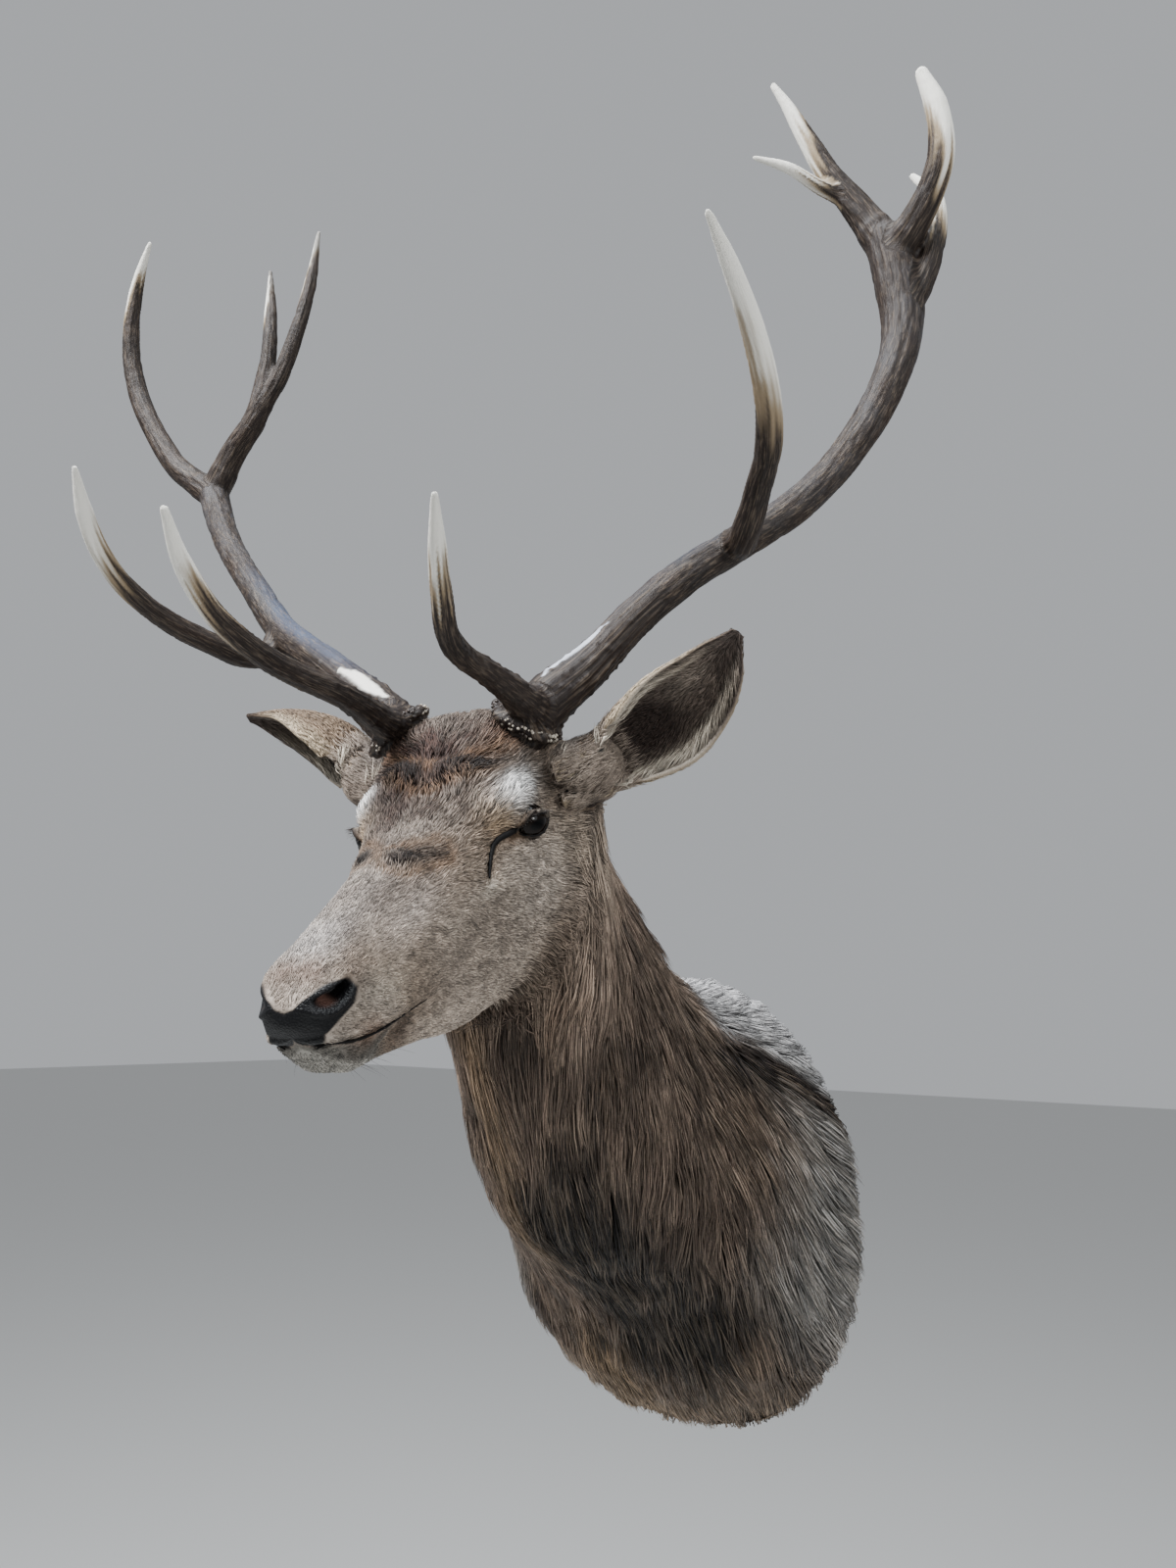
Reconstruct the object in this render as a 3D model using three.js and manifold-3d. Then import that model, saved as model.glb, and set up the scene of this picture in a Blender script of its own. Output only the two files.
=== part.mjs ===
// Red deer stag, shoulder mount: the head, neck and shoulders of a mature stag with a heavy
// winter mane, carrying eleven-point antlers, on a hidden back board that hangs on a wall.
// Millimetres. +X is the stag's left, -Y points out of the wall and +Z is up.
// The origin is the centre of the board's back face, on the wall.
import * as THREE from 'three';
import { mergeVertices } from 'three/addons/utils/BufferGeometryUtils.js';
import Module from 'manifold-3d';

const wasm = await Module();
wasm.setup();

// ---- driving dimensions -------------------------------------------------------------------
const HEAD_PLACE = [12, -532, 364]; // the point midway between the eyes
const HEAD_TURN = 12.2; // degrees, towards the stag's left
const HEAD_NOD = 31.4; // degrees, nose down
const HEAD_TILT = 3.7; // degrees, left side up
const CLEARANCE = 0.3; // between touching pieces
const SEAM = 0.02; // half the cut between two lengths of the body, in ring steps

const BODY_SIDES = 28; // facets round the body
const FACE_STEP = 0.86; // ring steps between facets along the face
const NECK_STEP = 0.6;

const EYE_RADIUS = 17;
const EYE_CENTRE = [74, 1, -2]; // in the head's frame
const EYE_OPENING = { centre: [93, -9, -2], half: [20, 19, 12] }; // the gap between the lids
const NOSTRIL_CENTRE = [29, -264, -19];
const NOSTRIL_HALF = [10, 12, 6];
const MOUTH_GAP = 1.6;

const BOARD_THICKNESS = 18;
const BOARD_INSET = 38; // from the coat's rim at the wall
const HANGER = { width: 70, height: 42, thickness: 2.4, z: 150 };
// The keyhole takes a wall screw's head, with a pocket behind it in the board
const KEYHOLE = { radius: 9, slot: 4.5, rise: 12, drop: 7, pocket: [30, 34, 12] };

// The head's frame has x to the stag's left, y towards the back of the skull and z up.
// A head ring: [forward, up] of its top, [forward, up] of its underside, half width,
// how far up it is widest (0 underside, 1 top), and how square it is above and below.
const HEAD_RINGS = [
  [290, -20, 280, -47, 13, 0.5, 2.2, 2.2],
  [287, -12, 276, -56, 22, 0.5, 2.3, 2.3],
  [280, -3, 266, -68, 28, 0.5, 2.3, 2.3],
  [267, 5, 253, -79, 33, 0.48, 2.3, 2.3],
  [248, 12, 236, -87, 38, 0.48, 2.2, 2.3],
  [222, 17, 213, -95, 40, 0.48, 2.1, 2.3],
  [185, 22, 183, -107, 43, 0.5, 2.0, 2.2],
  [145, 26, 150, -121, 47, 0.55, 2.0, 2.1],
  [108, 30, 121, -135, 53, 0.61, 2.0, 2.0],
  [74, 34, 95, -146, 61, 0.65, 2.1, 1.9],
  [45, 41, 72, -154, 69, 0.68, 2.2, 1.85],
  [20, 50, 53, -159, 75, 0.69, 2.3, 1.8],
  [-5, 59, 39, -163, 81, 0.69, 2.3, 1.8],
  [-30, 69, 29, -165, 83, 0.67, 2.2, 1.8],
  [-55, 77, 21, -167, 85, 0.65, 2.1, 1.8],
  [-80, 80, 15, -169, 91, 0.62, 2.0, 1.85],
  [-105, 77, 10, -171, 101, 0.59, 2.0, 1.9],
];

// A neck ring: [x, y, z] of its nape, [x, y, z] of its throat, half width, how far up it is
// widest, how square it is above and below, and how much of the head's turn it keeps.
const NECK_RINGS = [
  [-4, -462, 483, 9, -450, 199, 109, 0.57, 2.0, 1.9, 0.8],
  [-4, -430, 468, 8, -447, 183, 110, 0.55, 2.0, 1.85, 0.55],
  [-3, -386, 443, 6, -438, 158, 105, 0.52, 2.0, 1.8, 0.3],
  [-2, -332, 410, 3, -424, 126, 101, 0.49, 2.0, 1.8, 0.12],
  [-1, -276, 372, 1, -404, 84, 103, 0.47, 2.0, 1.8, 0],
  [0, -219, 326, 0, -370, 30, 114, 0.46, 2.0, 1.85, 0],
  [0, -166, 282, 0, -317, -24, 127, 0.45, 2.0, 1.9, 0],
  [0, -113, 258, 0, -247, -64, 151, 0.45, 2.0, 2.0, 0],
  [0, -63, 256, 0, -166, -120, 183, 0.45, 2.0, 2.2, 0],
  [0, -24, 263, 0, -94, -200, 210, 0.46, 2.0, 2.4, 0],
  [0, -1, 266, 0, -1, -264, 226, 0.47, 2.0, 2.4, 0],
];
const HEAD_END = HEAD_RINGS.length;
const NECK_END = HEAD_END + 6;
const WALL_END = HEAD_END + NECK_RINGS.length - 1;

// Rises and hollows of the face, in the head's frame, alike on both sides:
// where, how far they spread, and which way they push the surface.
const FACE_FORMS = [
  { at: [76, 0, 22], spread: [16, 22, 12], push: [7, -1, 4] }, // brow over the eye
  { at: [72, -24, -30], spread: [16, 22, 12], push: [4, 0, 0] }, // cheek bone under the eye
  { at: [60, 18, -80], spread: [22, 34, 28], push: [6, 0, 0] }, // cheek muscle
  { at: [70, -42, -4], spread: [22, 18, 18], push: [-9, 0, 0] }, // hollow before the eye
  { at: [74, 42, 12], spread: [18, 20, 18], push: [-6, 0, 0] }, // temple
  { at: [50, 60, 66], spread: [20, 22, 16], push: [7, 4, 12] }, // antler stem
  { at: [100, 107, 0], spread: [60, 23, 34], push: [25, 3, 0] }, // butt of the ear
  { at: [34, -150, 8], spread: [14, 50, 14], push: [-4, 0, -1] }, // side of the nose bridge
  { at: [34, -262, -12], spread: [12, 16, 10], push: [4, 0, 2] }, // wing of the nostril
  { at: [38, -222, -50], spread: [12, 36, 12], push: [4, 0, 0] }, // upper lip
  { at: [36, -222, -76], spread: [12, 40, 9], push: [-7, 0, 2] }, // fold under the lip
];

// Antler lines in the head's frame, with x outward: centre points from root to tip,
// and the half thickness at even steps along them.
const BURR = { radius: 36, height: 13, stem: 23, axis: [0.58, 0.12, 0.8] };
const ANTLERS = {
  left: {
    beam: {
      line: [[55, 70, 54], [65, 72, 68], [86, 88, 82], [116, 113, 99], [161, 154, 133], [204, 191, 157],
        [249, 227, 174], [303, 264, 195], [348, 299, 226], [390, 335, 273], [414, 369, 319], [420, 400, 363],
        [412, 432, 428]],
      half: [26, 24, 19, 18, 18, 17.5, 17, 16.5, 17, 18, 20, 24, 21],
    },
    brow_tine: {
      line: [[72, 78, 74], [78, 38, 97], [73, -5, 130], [71, -42, 153], [76, -74, 177], [89, -96, 214],
        [103, -115, 248], [117, -133, 279]],
      half: [20, 15, 12, 10.5, 10, 9, 7, 3],
    },
    trez_tine: {
      line: [[249, 225, 174], [262, 196, 183], [284, 172, 222], [302, 145, 259], [310, 114, 297],
        [311, 84, 336],
        [308, 57, 370], [304, 33, 397], [299, 10, 423]],
      half: [15, 14, 12.5, 12, 11.5, 10.5, 9, 7, 3],
    },
    crown_front: {
      line: [[413, 430, 415], [389, 446, 458], [364, 459, 499], [346, 473, 538], [329, 485, 577],
        [317, 491, 600]],
      half: [19, 16, 13, 11, 8, 3.5],
    },
    crown_back: {
      line: [[415, 424, 408], [437, 415, 428], [456, 411, 453], [469, 411, 481], [470, 423, 523],
        [459, 435, 562]],
      half: [18, 16, 14, 12.5, 11, 6],
    },
    crown_inner: {
      line: [[376, 452, 472], [352, 442, 489], [327, 433, 510], [294, 424, 527]],
      half: [8, 7, 5.5, 2.5],
    },
    crown_rear: {
      line: [[424, 396, 352], [446, 414, 385], [462, 443, 431], [462, 460, 455], [443, 485, 483]],
      half: [13, 13, 11, 8, 3.5],
    },
  },
  right: {
    beam: {
      line: [[52, 73, 59], [62, 75, 73], [84, 90, 88], [115, 114, 107], [164, 152, 130], [209, 190, 146],
        [253, 227, 166], [294, 266, 203], [330, 304, 231], [362, 340, 256], [388, 374, 279], [411, 408, 302],
        [431, 441, 332]],
      half: [26, 24, 20, 19, 18.5, 18, 17, 16, 16, 16, 17, 18, 19],
    },
    brow_tine: {
      line: [[68, 80, 78], [56, 42, 90], [61, -4, 127], [86, -45, 166], [94, -74, 194], [100, -98, 227],
        [100, -115, 268], [93, -126, 306]],
      half: [20, 15, 12, 11, 10.5, 9.5, 8, 3.5],
    },
    trez_tine: {
      line: [[250, 224, 163], [258, 196, 146], [270, 168, 152], [282, 140, 174], [296, 109, 203],
        [308, 78, 243],
        [308, 56, 283], [299, 41, 320], [285, 30, 359]],
      half: [14, 13, 12, 12, 11, 10.5, 9.5, 8, 3],
    },
    crown_front: {
      line: [[424, 430, 322], [482, 455, 365], [516, 477, 416], [541, 502, 475], [544, 525, 539],
        [521, 545, 606],
        [488, 544, 644]],
      half: [18, 16, 14, 13, 11.5, 9, 3],
    },
    crown_back: {
      line: [[424, 434, 326], [391, 451, 369], [356, 461, 401], [338, 485, 453], [331, 515, 511],
        [333, 552, 575]],
      half: [17, 15.5, 14, 10.5, 8.5, 2.5],
    },
    crown_inner: {
      line: [[360, 458, 396], [320, 481, 443], [291, 507, 496], [272, 537, 551], [262, 569, 607]],
      half: [12, 11, 9.5, 7.5, 2.5],
    },
  },
};
const TINE_SIDES = 8;
const TINE_STEP = 33; // between rings along an antler

// Ear: a cup whose wall is an arc that opens forwards, with its back along a curved line
// in the head's frame, x outward. Stations run from the root to the tip: arc radius, half
// angle of the arc, wall thickness.
const EAR_BACK = {
  left: [[70, 104, 12], [106, 117, 16], [152, 130, 36], [210, 137, 70], [254, 133, 110]],
  right: [[70, 104, 26], [106, 117, 48], [152, 131, 75], [206, 133, 90], [250, 122, 98]],
};
const EAR_FACING = { left: [0.32, -0.94, -0.05], right: [0.42, -0.72, -0.55] }; // the way the cup opens
const EAR_STATIONS = [
  [34, 165, 22], [33, 152, 16], [33, 136, 9], [36, 118, 6], [41, 103, 5.5], [45, 91, 5],
  [44, 79, 4.5], [39, 68, 4], [29, 58, 3.5], [10, 50, 3],
];
const EAR_ARC = 7; // points along each face of the wall

// ---- helpers ------------------------------------------------------------------------------
const rad = (degrees) => (degrees * Math.PI) / 180;
const mix = (a, b, t) => a + (b - a) * t;

const headFrame = new THREE.Matrix4()
  .makeRotationFromEuler(new THREE.Euler(rad(HEAD_NOD), rad(-HEAD_TILT), rad(HEAD_TURN), 'ZXY'))
  .setPosition(...HEAD_PLACE);
const headInverse = headFrame.clone().invert();
const headLeft = new THREE.Vector3(1, 0, 0).transformDirection(headFrame);
const fromHead = (x, y, z) => new THREE.Vector3(x, y, z).applyMatrix4(headFrame);

// Smooth value through a list of equal-length rows of numbers, at ring position s
function smoothRow(rows, s) {
  const last = rows.length - 1;
  const i = Math.min(Math.max(Math.floor(s), 0), last - 1);
  const t = s - i;
  const [a, b, c, d] = [i - 1, i, i + 1, i + 2].map((k) => rows[Math.min(Math.max(k, 0), last)]);
  return b.map((_, k) => 0.5 * (2 * b[k] + (c[k] - a[k]) * t
    + (2 * a[k] - 5 * b[k] + 4 * c[k] - d[k]) * t * t
    + (3 * b[k] - a[k] - 3 * c[k] + d[k]) * t * t * t));
}

// A closed solid through rings of equal point counts, with a flat fan over each end
function loft(rings) {
  const count = rings[0].length;
  const position = [];
  const index = [];
  rings.forEach((ring) => ring.forEach((p) => position.push(p.x, p.y, p.z)));
  for (let i = 0; i < rings.length - 1; i++) {
    for (let k = 0; k < count; k++) {
      const a = i * count + k;
      const b = i * count + ((k + 1) % count);
      index.push(a, b, a + count, b, b + count, a + count);
    }
  }
  [[rings[0], 0, true], [rings.at(-1), (rings.length - 1) * count, false]].forEach(([ring, first, flip]) => {
    const middle = ring.reduce((sum, p) => sum.add(p), new THREE.Vector3()).divideScalar(count);
    const centre = position.length / 3;
    position.push(middle.x, middle.y, middle.z);
    for (let k = 0; k < count; k++) {
      const a = first + k;
      const b = first + ((k + 1) % count);
      index.push(...(flip ? [centre, b, a] : [centre, a, b]));
    }
  });
  const geometry = new THREE.BufferGeometry();
  geometry.setAttribute('position', new THREE.Float32BufferAttribute(position, 3));
  geometry.setIndex(index);
  return solidOf(geometry);
}

// three.js geometry to a solid that can be cut and joined, turned right side out
function solidOf(geometry) {
  const bare = geometry.clone();
  bare.deleteAttribute('normal');
  bare.deleteAttribute('uv');
  const merged = mergeVertices(bare, 1e-4);
  const vertProperties = new Float32Array(merged.attributes.position.array);
  const triVerts = new Uint32Array(merged.index.array);
  const solid = new wasm.Manifold(new wasm.Mesh({ numProp: 3, vertProperties, triVerts }));
  if (solid.volume() > 0) return solid;
  for (let i = 0; i < triVerts.length; i += 3) {
    [triVerts[i], triVerts[i + 1]] = [triVerts[i + 1], triVerts[i]];
  }
  return new wasm.Manifold(new wasm.Mesh({ numProp: 3, vertProperties, triVerts }));
}

const largestBody = (solid) => solid.decompose().reduce((a, b) => (a.volume() > b.volume() ? a : b));

function addNode(group, name, solid, material) {
  const { vertProperties, triVerts } = solid.getMesh();
  const geometry = new THREE.BufferGeometry();
  geometry.setAttribute('position', new THREE.BufferAttribute(new Float32Array(vertProperties), 3));
  geometry.setIndex(new THREE.BufferAttribute(new Uint32Array(triVerts), 1));
  geometry.computeVertexNormals();
  const mesh = new THREE.Mesh(geometry, material);
  mesh.name = name;
  group.add(mesh);
}

function finish(color, roughness, metalness = 0) {
  return new THREE.MeshStandardMaterial({ color, roughness, metalness });
}

const FINISHES = {
  face: finish(0x8a7866, 0.9),
  mane: finish(0x5a4636, 0.95),
  nose: finish(0x1b1a1c, 0.45),
  ear: finish(0x9a8a72, 0.9),
  eye: finish(0x0b0806, 0.05),
  antler: finish(0x5b4536, 0.55),
  board: finish(0xb99a6b, 0.8),
  steel: finish(0x9a9c9e, 0.35, 0.9),
};

// ---- body: one loft from the nose to the wall ------------------------------------------------
const bodyRows = [
  ...HEAD_RINGS.map(([f0, u0, f1, u1, ...shape]) => [
    ...fromHead(0, -f0, u0).toArray(), ...fromHead(0, -f1, u1).toArray(), ...shape, 1]),
  ...NECK_RINGS,
];

function faceForms(point) {
  const local = point.clone().applyMatrix4(headInverse);
  const side = Math.sign(local.x) || 1;
  const moved = local.clone();
  FACE_FORMS.forEach(({ at, spread, push }) => {
    const d = [Math.abs(local.x), local.y, local.z].map((v, k) => (v - at[k]) / spread[k]);
    const share = Math.exp(-0.5 * (d[0] ** 2 + d[1] ** 2 + d[2] ** 2));
    moved.x += side * push[0] * share;
    moved.y += push[1] * share;
    moved.z += push[2] * share;
  });
  return moved.applyMatrix4(headFrame);
}

function bodyRing(s, grow = 0) {
  const row = smoothRow(bodyRows, s);
  const top = new THREE.Vector3(...row.slice(0, 3));
  const under = new THREE.Vector3(...row.slice(3, 6));
  const [half, widest, above, below, turn] = row.slice(6);
  const across = new THREE.Vector3(1, 0, 0).lerp(headLeft, turn).normalize();
  const up = top.clone().sub(under);
  const height = up.length();
  up.normalize();
  const centre = under.clone().addScaledVector(up, height * widest);
  const ring = [];
  for (let k = 0; k < BODY_SIDES; k++) {
    const angle = (2 * Math.PI * k) / BODY_SIDES;
    const [c, sn] = [Math.cos(angle), Math.sin(angle)];
    const power = 2 / (c > 0 ? above : below);
    const reach = (c > 0 ? (1 - widest) * height : widest * height) + grow;
    const x = (half + grow) * Math.sign(sn) * Math.abs(sn) ** power;
    const h = reach * Math.sign(c) * Math.abs(c) ** power;
    ring.push(faceForms(centre.clone().addScaledVector(across, x).addScaledVector(up, h)));
  }
  return ring;
}

function bodyLength(from, to, step, grow = 0) {
  const count = Math.ceil((to - from) / step);
  return loft(Array.from({ length: count + 1 }, (_, i) => bodyRing(mix(from, to, i / count), grow)));
}

// A prism across the head, from its outline in side view as [forward, up] pairs
function acrossHead(outline, halfWidth) {
  const shape = new THREE.Shape(outline.map(([f, u]) => new THREE.Vector2(f, u)));
  const geometry = new THREE.ExtrudeGeometry(shape, { depth: 2 * halfWidth, bevelEnabled: false });
  const toHead = new THREE.Matrix4().set(0, 0, 1, -halfWidth, -1, 0, 0, 0, 0, 1, 0, 0, 0, 0, 0, 1);
  return solidOf(geometry.applyMatrix4(toHead).applyMatrix4(headFrame));
}

function headBall(centre, halfSizes, side, detail = 14) {
  const geometry = new THREE.SphereGeometry(1, detail, Math.round(detail * 0.7));
  geometry.scale(...halfSizes);
  geometry.translate(side * centre[0], centre[1], centre[2]);
  return solidOf(geometry.applyMatrix4(headFrame));
}

// ---- antlers ---------------------------------------------------------------------------------
function taper(line, half, side, grow = 0) {
  const points = line.map(([x, y, z]) => fromHead(side * x, y, z));
  const path = new THREE.CatmullRomCurve3(points, false, 'centripetal');
  const steps = Math.max(5, Math.round(path.getLength() / TINE_STEP));
  const frames = path.computeFrenetFrames(steps, false);
  const rings = [];
  for (let i = 0; i <= steps; i++) {
    const u = i / steps;
    const at = u * (half.length - 1);
    const low = Math.min(Math.floor(at), half.length - 2);
    const radius = mix(half[low], half[low + 1], at - low) + grow;
    const centre = path.getPointAt(u);
    rings.push(Array.from({ length: TINE_SIDES }, (_, k) => {
      const angle = (2 * Math.PI * k) / TINE_SIDES;
      return centre.clone()
        .addScaledVector(frames.normals[i], radius * Math.cos(angle))
        .addScaledVector(frames.binormals[i], radius * Math.sin(angle));
    }));
  }
  return loft(rings);
}

// The stem in the skull and the burr round the antler's foot
function burr(line, side, grow = 0) {
  const foot = fromHead(side * line[1][0], line[1][1], line[1][2]);
  const [x, y, z] = BURR.axis;
  const axis = new THREE.Vector3(side * x, y, z).transformDirection(headFrame);
  const profile = [
    [0, -30], [BURR.stem, -30], [BURR.stem, -BURR.height / 2], [BURR.radius - 4, -BURR.height / 2],
    [BURR.radius, 0], [BURR.radius - 5, BURR.height / 2], [BURR.stem, BURR.height], [0, BURR.height + 2],
  ].map(([r, h]) => new THREE.Vector2(r > 0 ? r + grow : 0, h < 0 ? h - grow : h + grow));
  const geometry = new THREE.LatheGeometry(profile, 14);
  const turn = new THREE.Quaternion().setFromUnitVectors(new THREE.Vector3(0, 1, 0), axis);
  return solidOf(geometry.applyQuaternion(turn).translate(foot.x, foot.y, foot.z));
}

function beamSolid(antler, side, grow = 0) {
  const { line, half } = antler.beam;
  return taper(line, half, side, grow).add(burr(line, side, grow));
}

function addAntler(group, sideName, side) {
  const antler = ANTLERS[sideName];
  addNode(group, `antler_${sideName}_beam`, beamSolid(antler, side), FINISHES.antler);
  const grown = [beamSolid(antler, side, CLEARANCE)];
  Object.entries(antler).filter(([name]) => name !== 'beam').forEach(([name, { line, half }]) => {
    const cut = grown.reduce((solid, other) => solid.subtract(other), taper(line, half, side));
    addNode(group, `antler_${sideName}_${name}`, largestBody(cut), FINISHES.antler);
    grown.push(taper(line, half, side, CLEARANCE));
  });
}

// ---- ears ------------------------------------------------------------------------------------
function earCup(sideName, side) {
  const back = new THREE.CatmullRomCurve3(EAR_BACK[sideName].map((p) => new THREE.Vector3(...p)));
  const rings = EAR_STATIONS.map(([radius, span, wall], i) => {
    const u = i / (EAR_STATIONS.length - 1);
    const along = back.getTangentAt(u);
    const facing = new THREE.Vector3(...EAR_FACING[sideName]);
    facing.addScaledVector(along, -facing.dot(along)).normalize();
    const across = along.clone().cross(facing);
    const centre = back.getPointAt(u).addScaledVector(facing, radius);
    const arc = Array.from({ length: EAR_ARC }, (_, k) => rad(span) * (2 * k / (EAR_ARC - 1) - 1));
    const face = (r, angles) => angles.map((angle) => {
      const p = centre.clone()
        .addScaledVector(across, r * Math.sin(angle))
        .addScaledVector(facing, -r * Math.cos(angle));
      return fromHead(side * p.x, p.y, p.z);
    });
    return [...face(radius, arc), ...face(radius - wall, arc.toReversed())];
  });
  return loft(rings);
}

// ---- assembly --------------------------------------------------------------------------------
const stag = new THREE.Group();

const MOUTH_LINE = [[154, -80], [200, -71], [240, -61], [272, -52], [310, -40]];
const mouth = acrossHead([
  ...MOUTH_LINE.map(([f, u]) => [f, u + MOUTH_GAP / 2]),
  ...MOUTH_LINE.toReversed().map(([f, u]) => [f, u - MOUTH_GAP / 2]),
], 80);
const noseOutline = (grow) => [
  [279 - grow, 30], [279 - grow, -5 + grow], [250 - grow, -8 + grow], [246 - grow, -24],
  [262 - grow, -36 - grow], [310, -36 - grow], [310, 30],
];

const headBlank = (grow) => bodyLength(0, HEAD_END - SEAM, FACE_STEP, grow);
const neckBlank = (grow) => bodyLength(HEAD_END + SEAM, NECK_END - SEAM, NECK_STEP, grow);
let head = headBlank(0).subtract(mouth);
let nosePad = head.intersect(acrossHead(noseOutline(0), 80));
head = head.subtract(acrossHead(noseOutline(CLEARANCE), 80));
for (const side of [1, -1]) {
  const nostril = headBall(NOSTRIL_CENTRE, NOSTRIL_HALF, side, 10);
  nosePad = nosePad.subtract(nostril);
  head = head.subtract(nostril);
  head = head.subtract(headBall(EYE_CENTRE, Array(3).fill(EYE_RADIUS + CLEARANCE), side, 12));
  head = head.subtract(headBall(EYE_OPENING.centre, EYE_OPENING.half, side));
  const antler = ANTLERS[side > 0 ? 'left' : 'right'];
  head = head.subtract(beamSolid(antler, side, CLEARANCE));
  head = head.subtract(taper(antler.brow_tine.line, antler.brow_tine.half, side, CLEARANCE));
}
addNode(stag, 'head', largestBody(head), FINISHES.face);
addNode(stag, 'nose_pad', largestBody(nosePad), FINISHES.nose);
addNode(stag, 'neck', neckBlank(0), FINISHES.mane);

const EAR_GAP = 1.25; // between an ear's root and the head
const flesh = headBlank(EAR_GAP).add(neckBlank(EAR_GAP))
  .add(bodyLength(HEAD_END - 0.3, HEAD_END + 0.3, FACE_STEP, EAR_GAP));
for (const [sideName, side] of [['left', 1], ['right', -1]]) {
  addNode(stag, `eye_${sideName}`, headBall(EYE_CENTRE, Array(3).fill(EYE_RADIUS), side, 12), FINISHES.eye);
  addNode(stag, `ear_${sideName}`, largestBody(earCup(sideName, side).subtract(flesh)), FINISHES.ear);
  addAntler(stag, sideName, side);
}

// The back board follows the coat's rim at the wall; the shoulders are hollowed to take it
function boardPrism(inset, back, front) {
  const rim = bodyRing(WALL_END);
  const middle = rim.reduce((sum, p) => sum.add(p), new THREE.Vector3()).divideScalar(rim.length);
  const shape = new THREE.Shape(rim.map((p) => {
    const [dx, dz] = [p.x - middle.x, p.z - middle.z];
    const shrink = 1 - inset / Math.hypot(dx, dz);
    return new THREE.Vector2(middle.x + dx * shrink, middle.z + dz * shrink);
  }));
  const geometry = new THREE.ExtrudeGeometry(shape, { depth: back - front, bevelEnabled: false });
  return solidOf(geometry.rotateX(Math.PI / 2).translate(0, back, 0));
}

function plate(width, height, back, front) {
  const geometry = new THREE.BoxGeometry(width, back - front, height);
  return solidOf(geometry.translate(0, (back + front) / 2, HANGER.z));
}

const shoulders = bodyLength(NECK_END + SEAM, WALL_END, NECK_STEP)
  .subtract(boardPrism(BOARD_INSET - CLEARANCE, 10, -BOARD_THICKNESS - CLEARANCE));
addNode(stag, 'shoulders', shoulders, FINISHES.mane);
const recessWidth = HANGER.width + 2 * CLEARANCE;
const recessHeight = HANGER.height + 2 * CLEARANCE;
const recess = plate(recessWidth, recessHeight, 10, -HANGER.thickness - 2 * CLEARANCE);
const [pocketWidth, pocketHeight, pocketDepth] = KEYHOLE.pocket;
const board = boardPrism(BOARD_INSET, 0, -BOARD_THICKNESS)
  .subtract(recess)
  .subtract(plate(pocketWidth, pocketHeight, 10, -pocketDepth));
addNode(stag, 'back_board', board, FINISHES.board);

const drill = (radius, rise) => solidOf(
  new THREE.CylinderGeometry(radius, radius, 30, 16).translate(0, 0, HANGER.z - KEYHOLE.drop + rise));
const slot = new THREE.BoxGeometry(2 * KEYHOLE.slot, 30, KEYHOLE.rise)
  .translate(0, 0, HANGER.z - KEYHOLE.drop + KEYHOLE.rise / 2);
const keyhole = drill(KEYHOLE.radius, 0).add(drill(KEYHOLE.slot, KEYHOLE.rise)).add(solidOf(slot));
const hanger = plate(HANGER.width, HANGER.height, -CLEARANCE, -HANGER.thickness - CLEARANCE)
  .subtract(keyhole);
addNode(stag, 'hanger_plate', hanger, FINISHES.steel);

export default stag;
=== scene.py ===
# %% [markdown]
# # A red deer stag head mount
# A shoulder mount is a foam form with a tanned cape of deer skin over it, glass eyes, and
# the stag's own antlers screwed to the form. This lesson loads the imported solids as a
# fixed frame and dresses them: one skin with a fine face, a coat of tufts that follows the
# lie of the hair, glass eyes, and grooved antlers. Everything is in metres in the frame of
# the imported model: +X is the stag's left, -Y points out of the wall and +Z is up.

# %% Load the frame
import bmesh
import bpy
import math
import numpy as np
from mathutils import Matrix, Vector
from mathutils.bvhtree import BVHTree
from mathutils.kdtree import KDTree


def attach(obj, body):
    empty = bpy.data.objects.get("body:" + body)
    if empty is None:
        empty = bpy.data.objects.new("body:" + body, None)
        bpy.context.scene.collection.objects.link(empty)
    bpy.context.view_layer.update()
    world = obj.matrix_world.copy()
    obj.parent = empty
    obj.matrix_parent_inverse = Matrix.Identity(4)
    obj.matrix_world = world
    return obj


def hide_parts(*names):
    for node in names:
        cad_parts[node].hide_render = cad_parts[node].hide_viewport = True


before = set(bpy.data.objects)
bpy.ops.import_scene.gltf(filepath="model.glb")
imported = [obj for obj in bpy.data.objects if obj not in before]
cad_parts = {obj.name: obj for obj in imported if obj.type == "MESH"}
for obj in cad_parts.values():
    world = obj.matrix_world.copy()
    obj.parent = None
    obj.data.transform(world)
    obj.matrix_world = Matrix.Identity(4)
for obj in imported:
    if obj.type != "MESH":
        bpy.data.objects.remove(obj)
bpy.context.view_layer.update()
MM = 0.001
SIDES = ((1, "left"), (-1, "right"))
RANDOM = np.random.default_rng(11)

# %% [markdown]
# ## Camera, floor and light
# The camera stands in front of the mount to its left and a little below the eyes, and looks
# up at it. Its turn is given by three directions: right, down and forwards. A pale floor
# lies below, and big soft lights leave few hard shadows, as an overcast sky does.

# %% Camera
camera_data = bpy.data.cameras.new("camera")
camera_data.lens = 24.95
camera_data.sensor_width = 36
camera = bpy.data.objects.new("camera", camera_data)
bpy.context.scene.collection.objects.link(camera)
right = Vector((0.8727, 0.4877, 0.0234)).normalized()
forward = Vector((-0.4815, 0.8517, 0.2068)).normalized()
upward = right.cross(forward)
turn = Matrix((right, upward, -forward)).transposed().to_4x4()
camera.matrix_world = Matrix.Translation((0.578, -1.287, 0.208)) @ turn
bpy.context.scene.camera = camera
print("camera at", tuple(camera.location))

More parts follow.
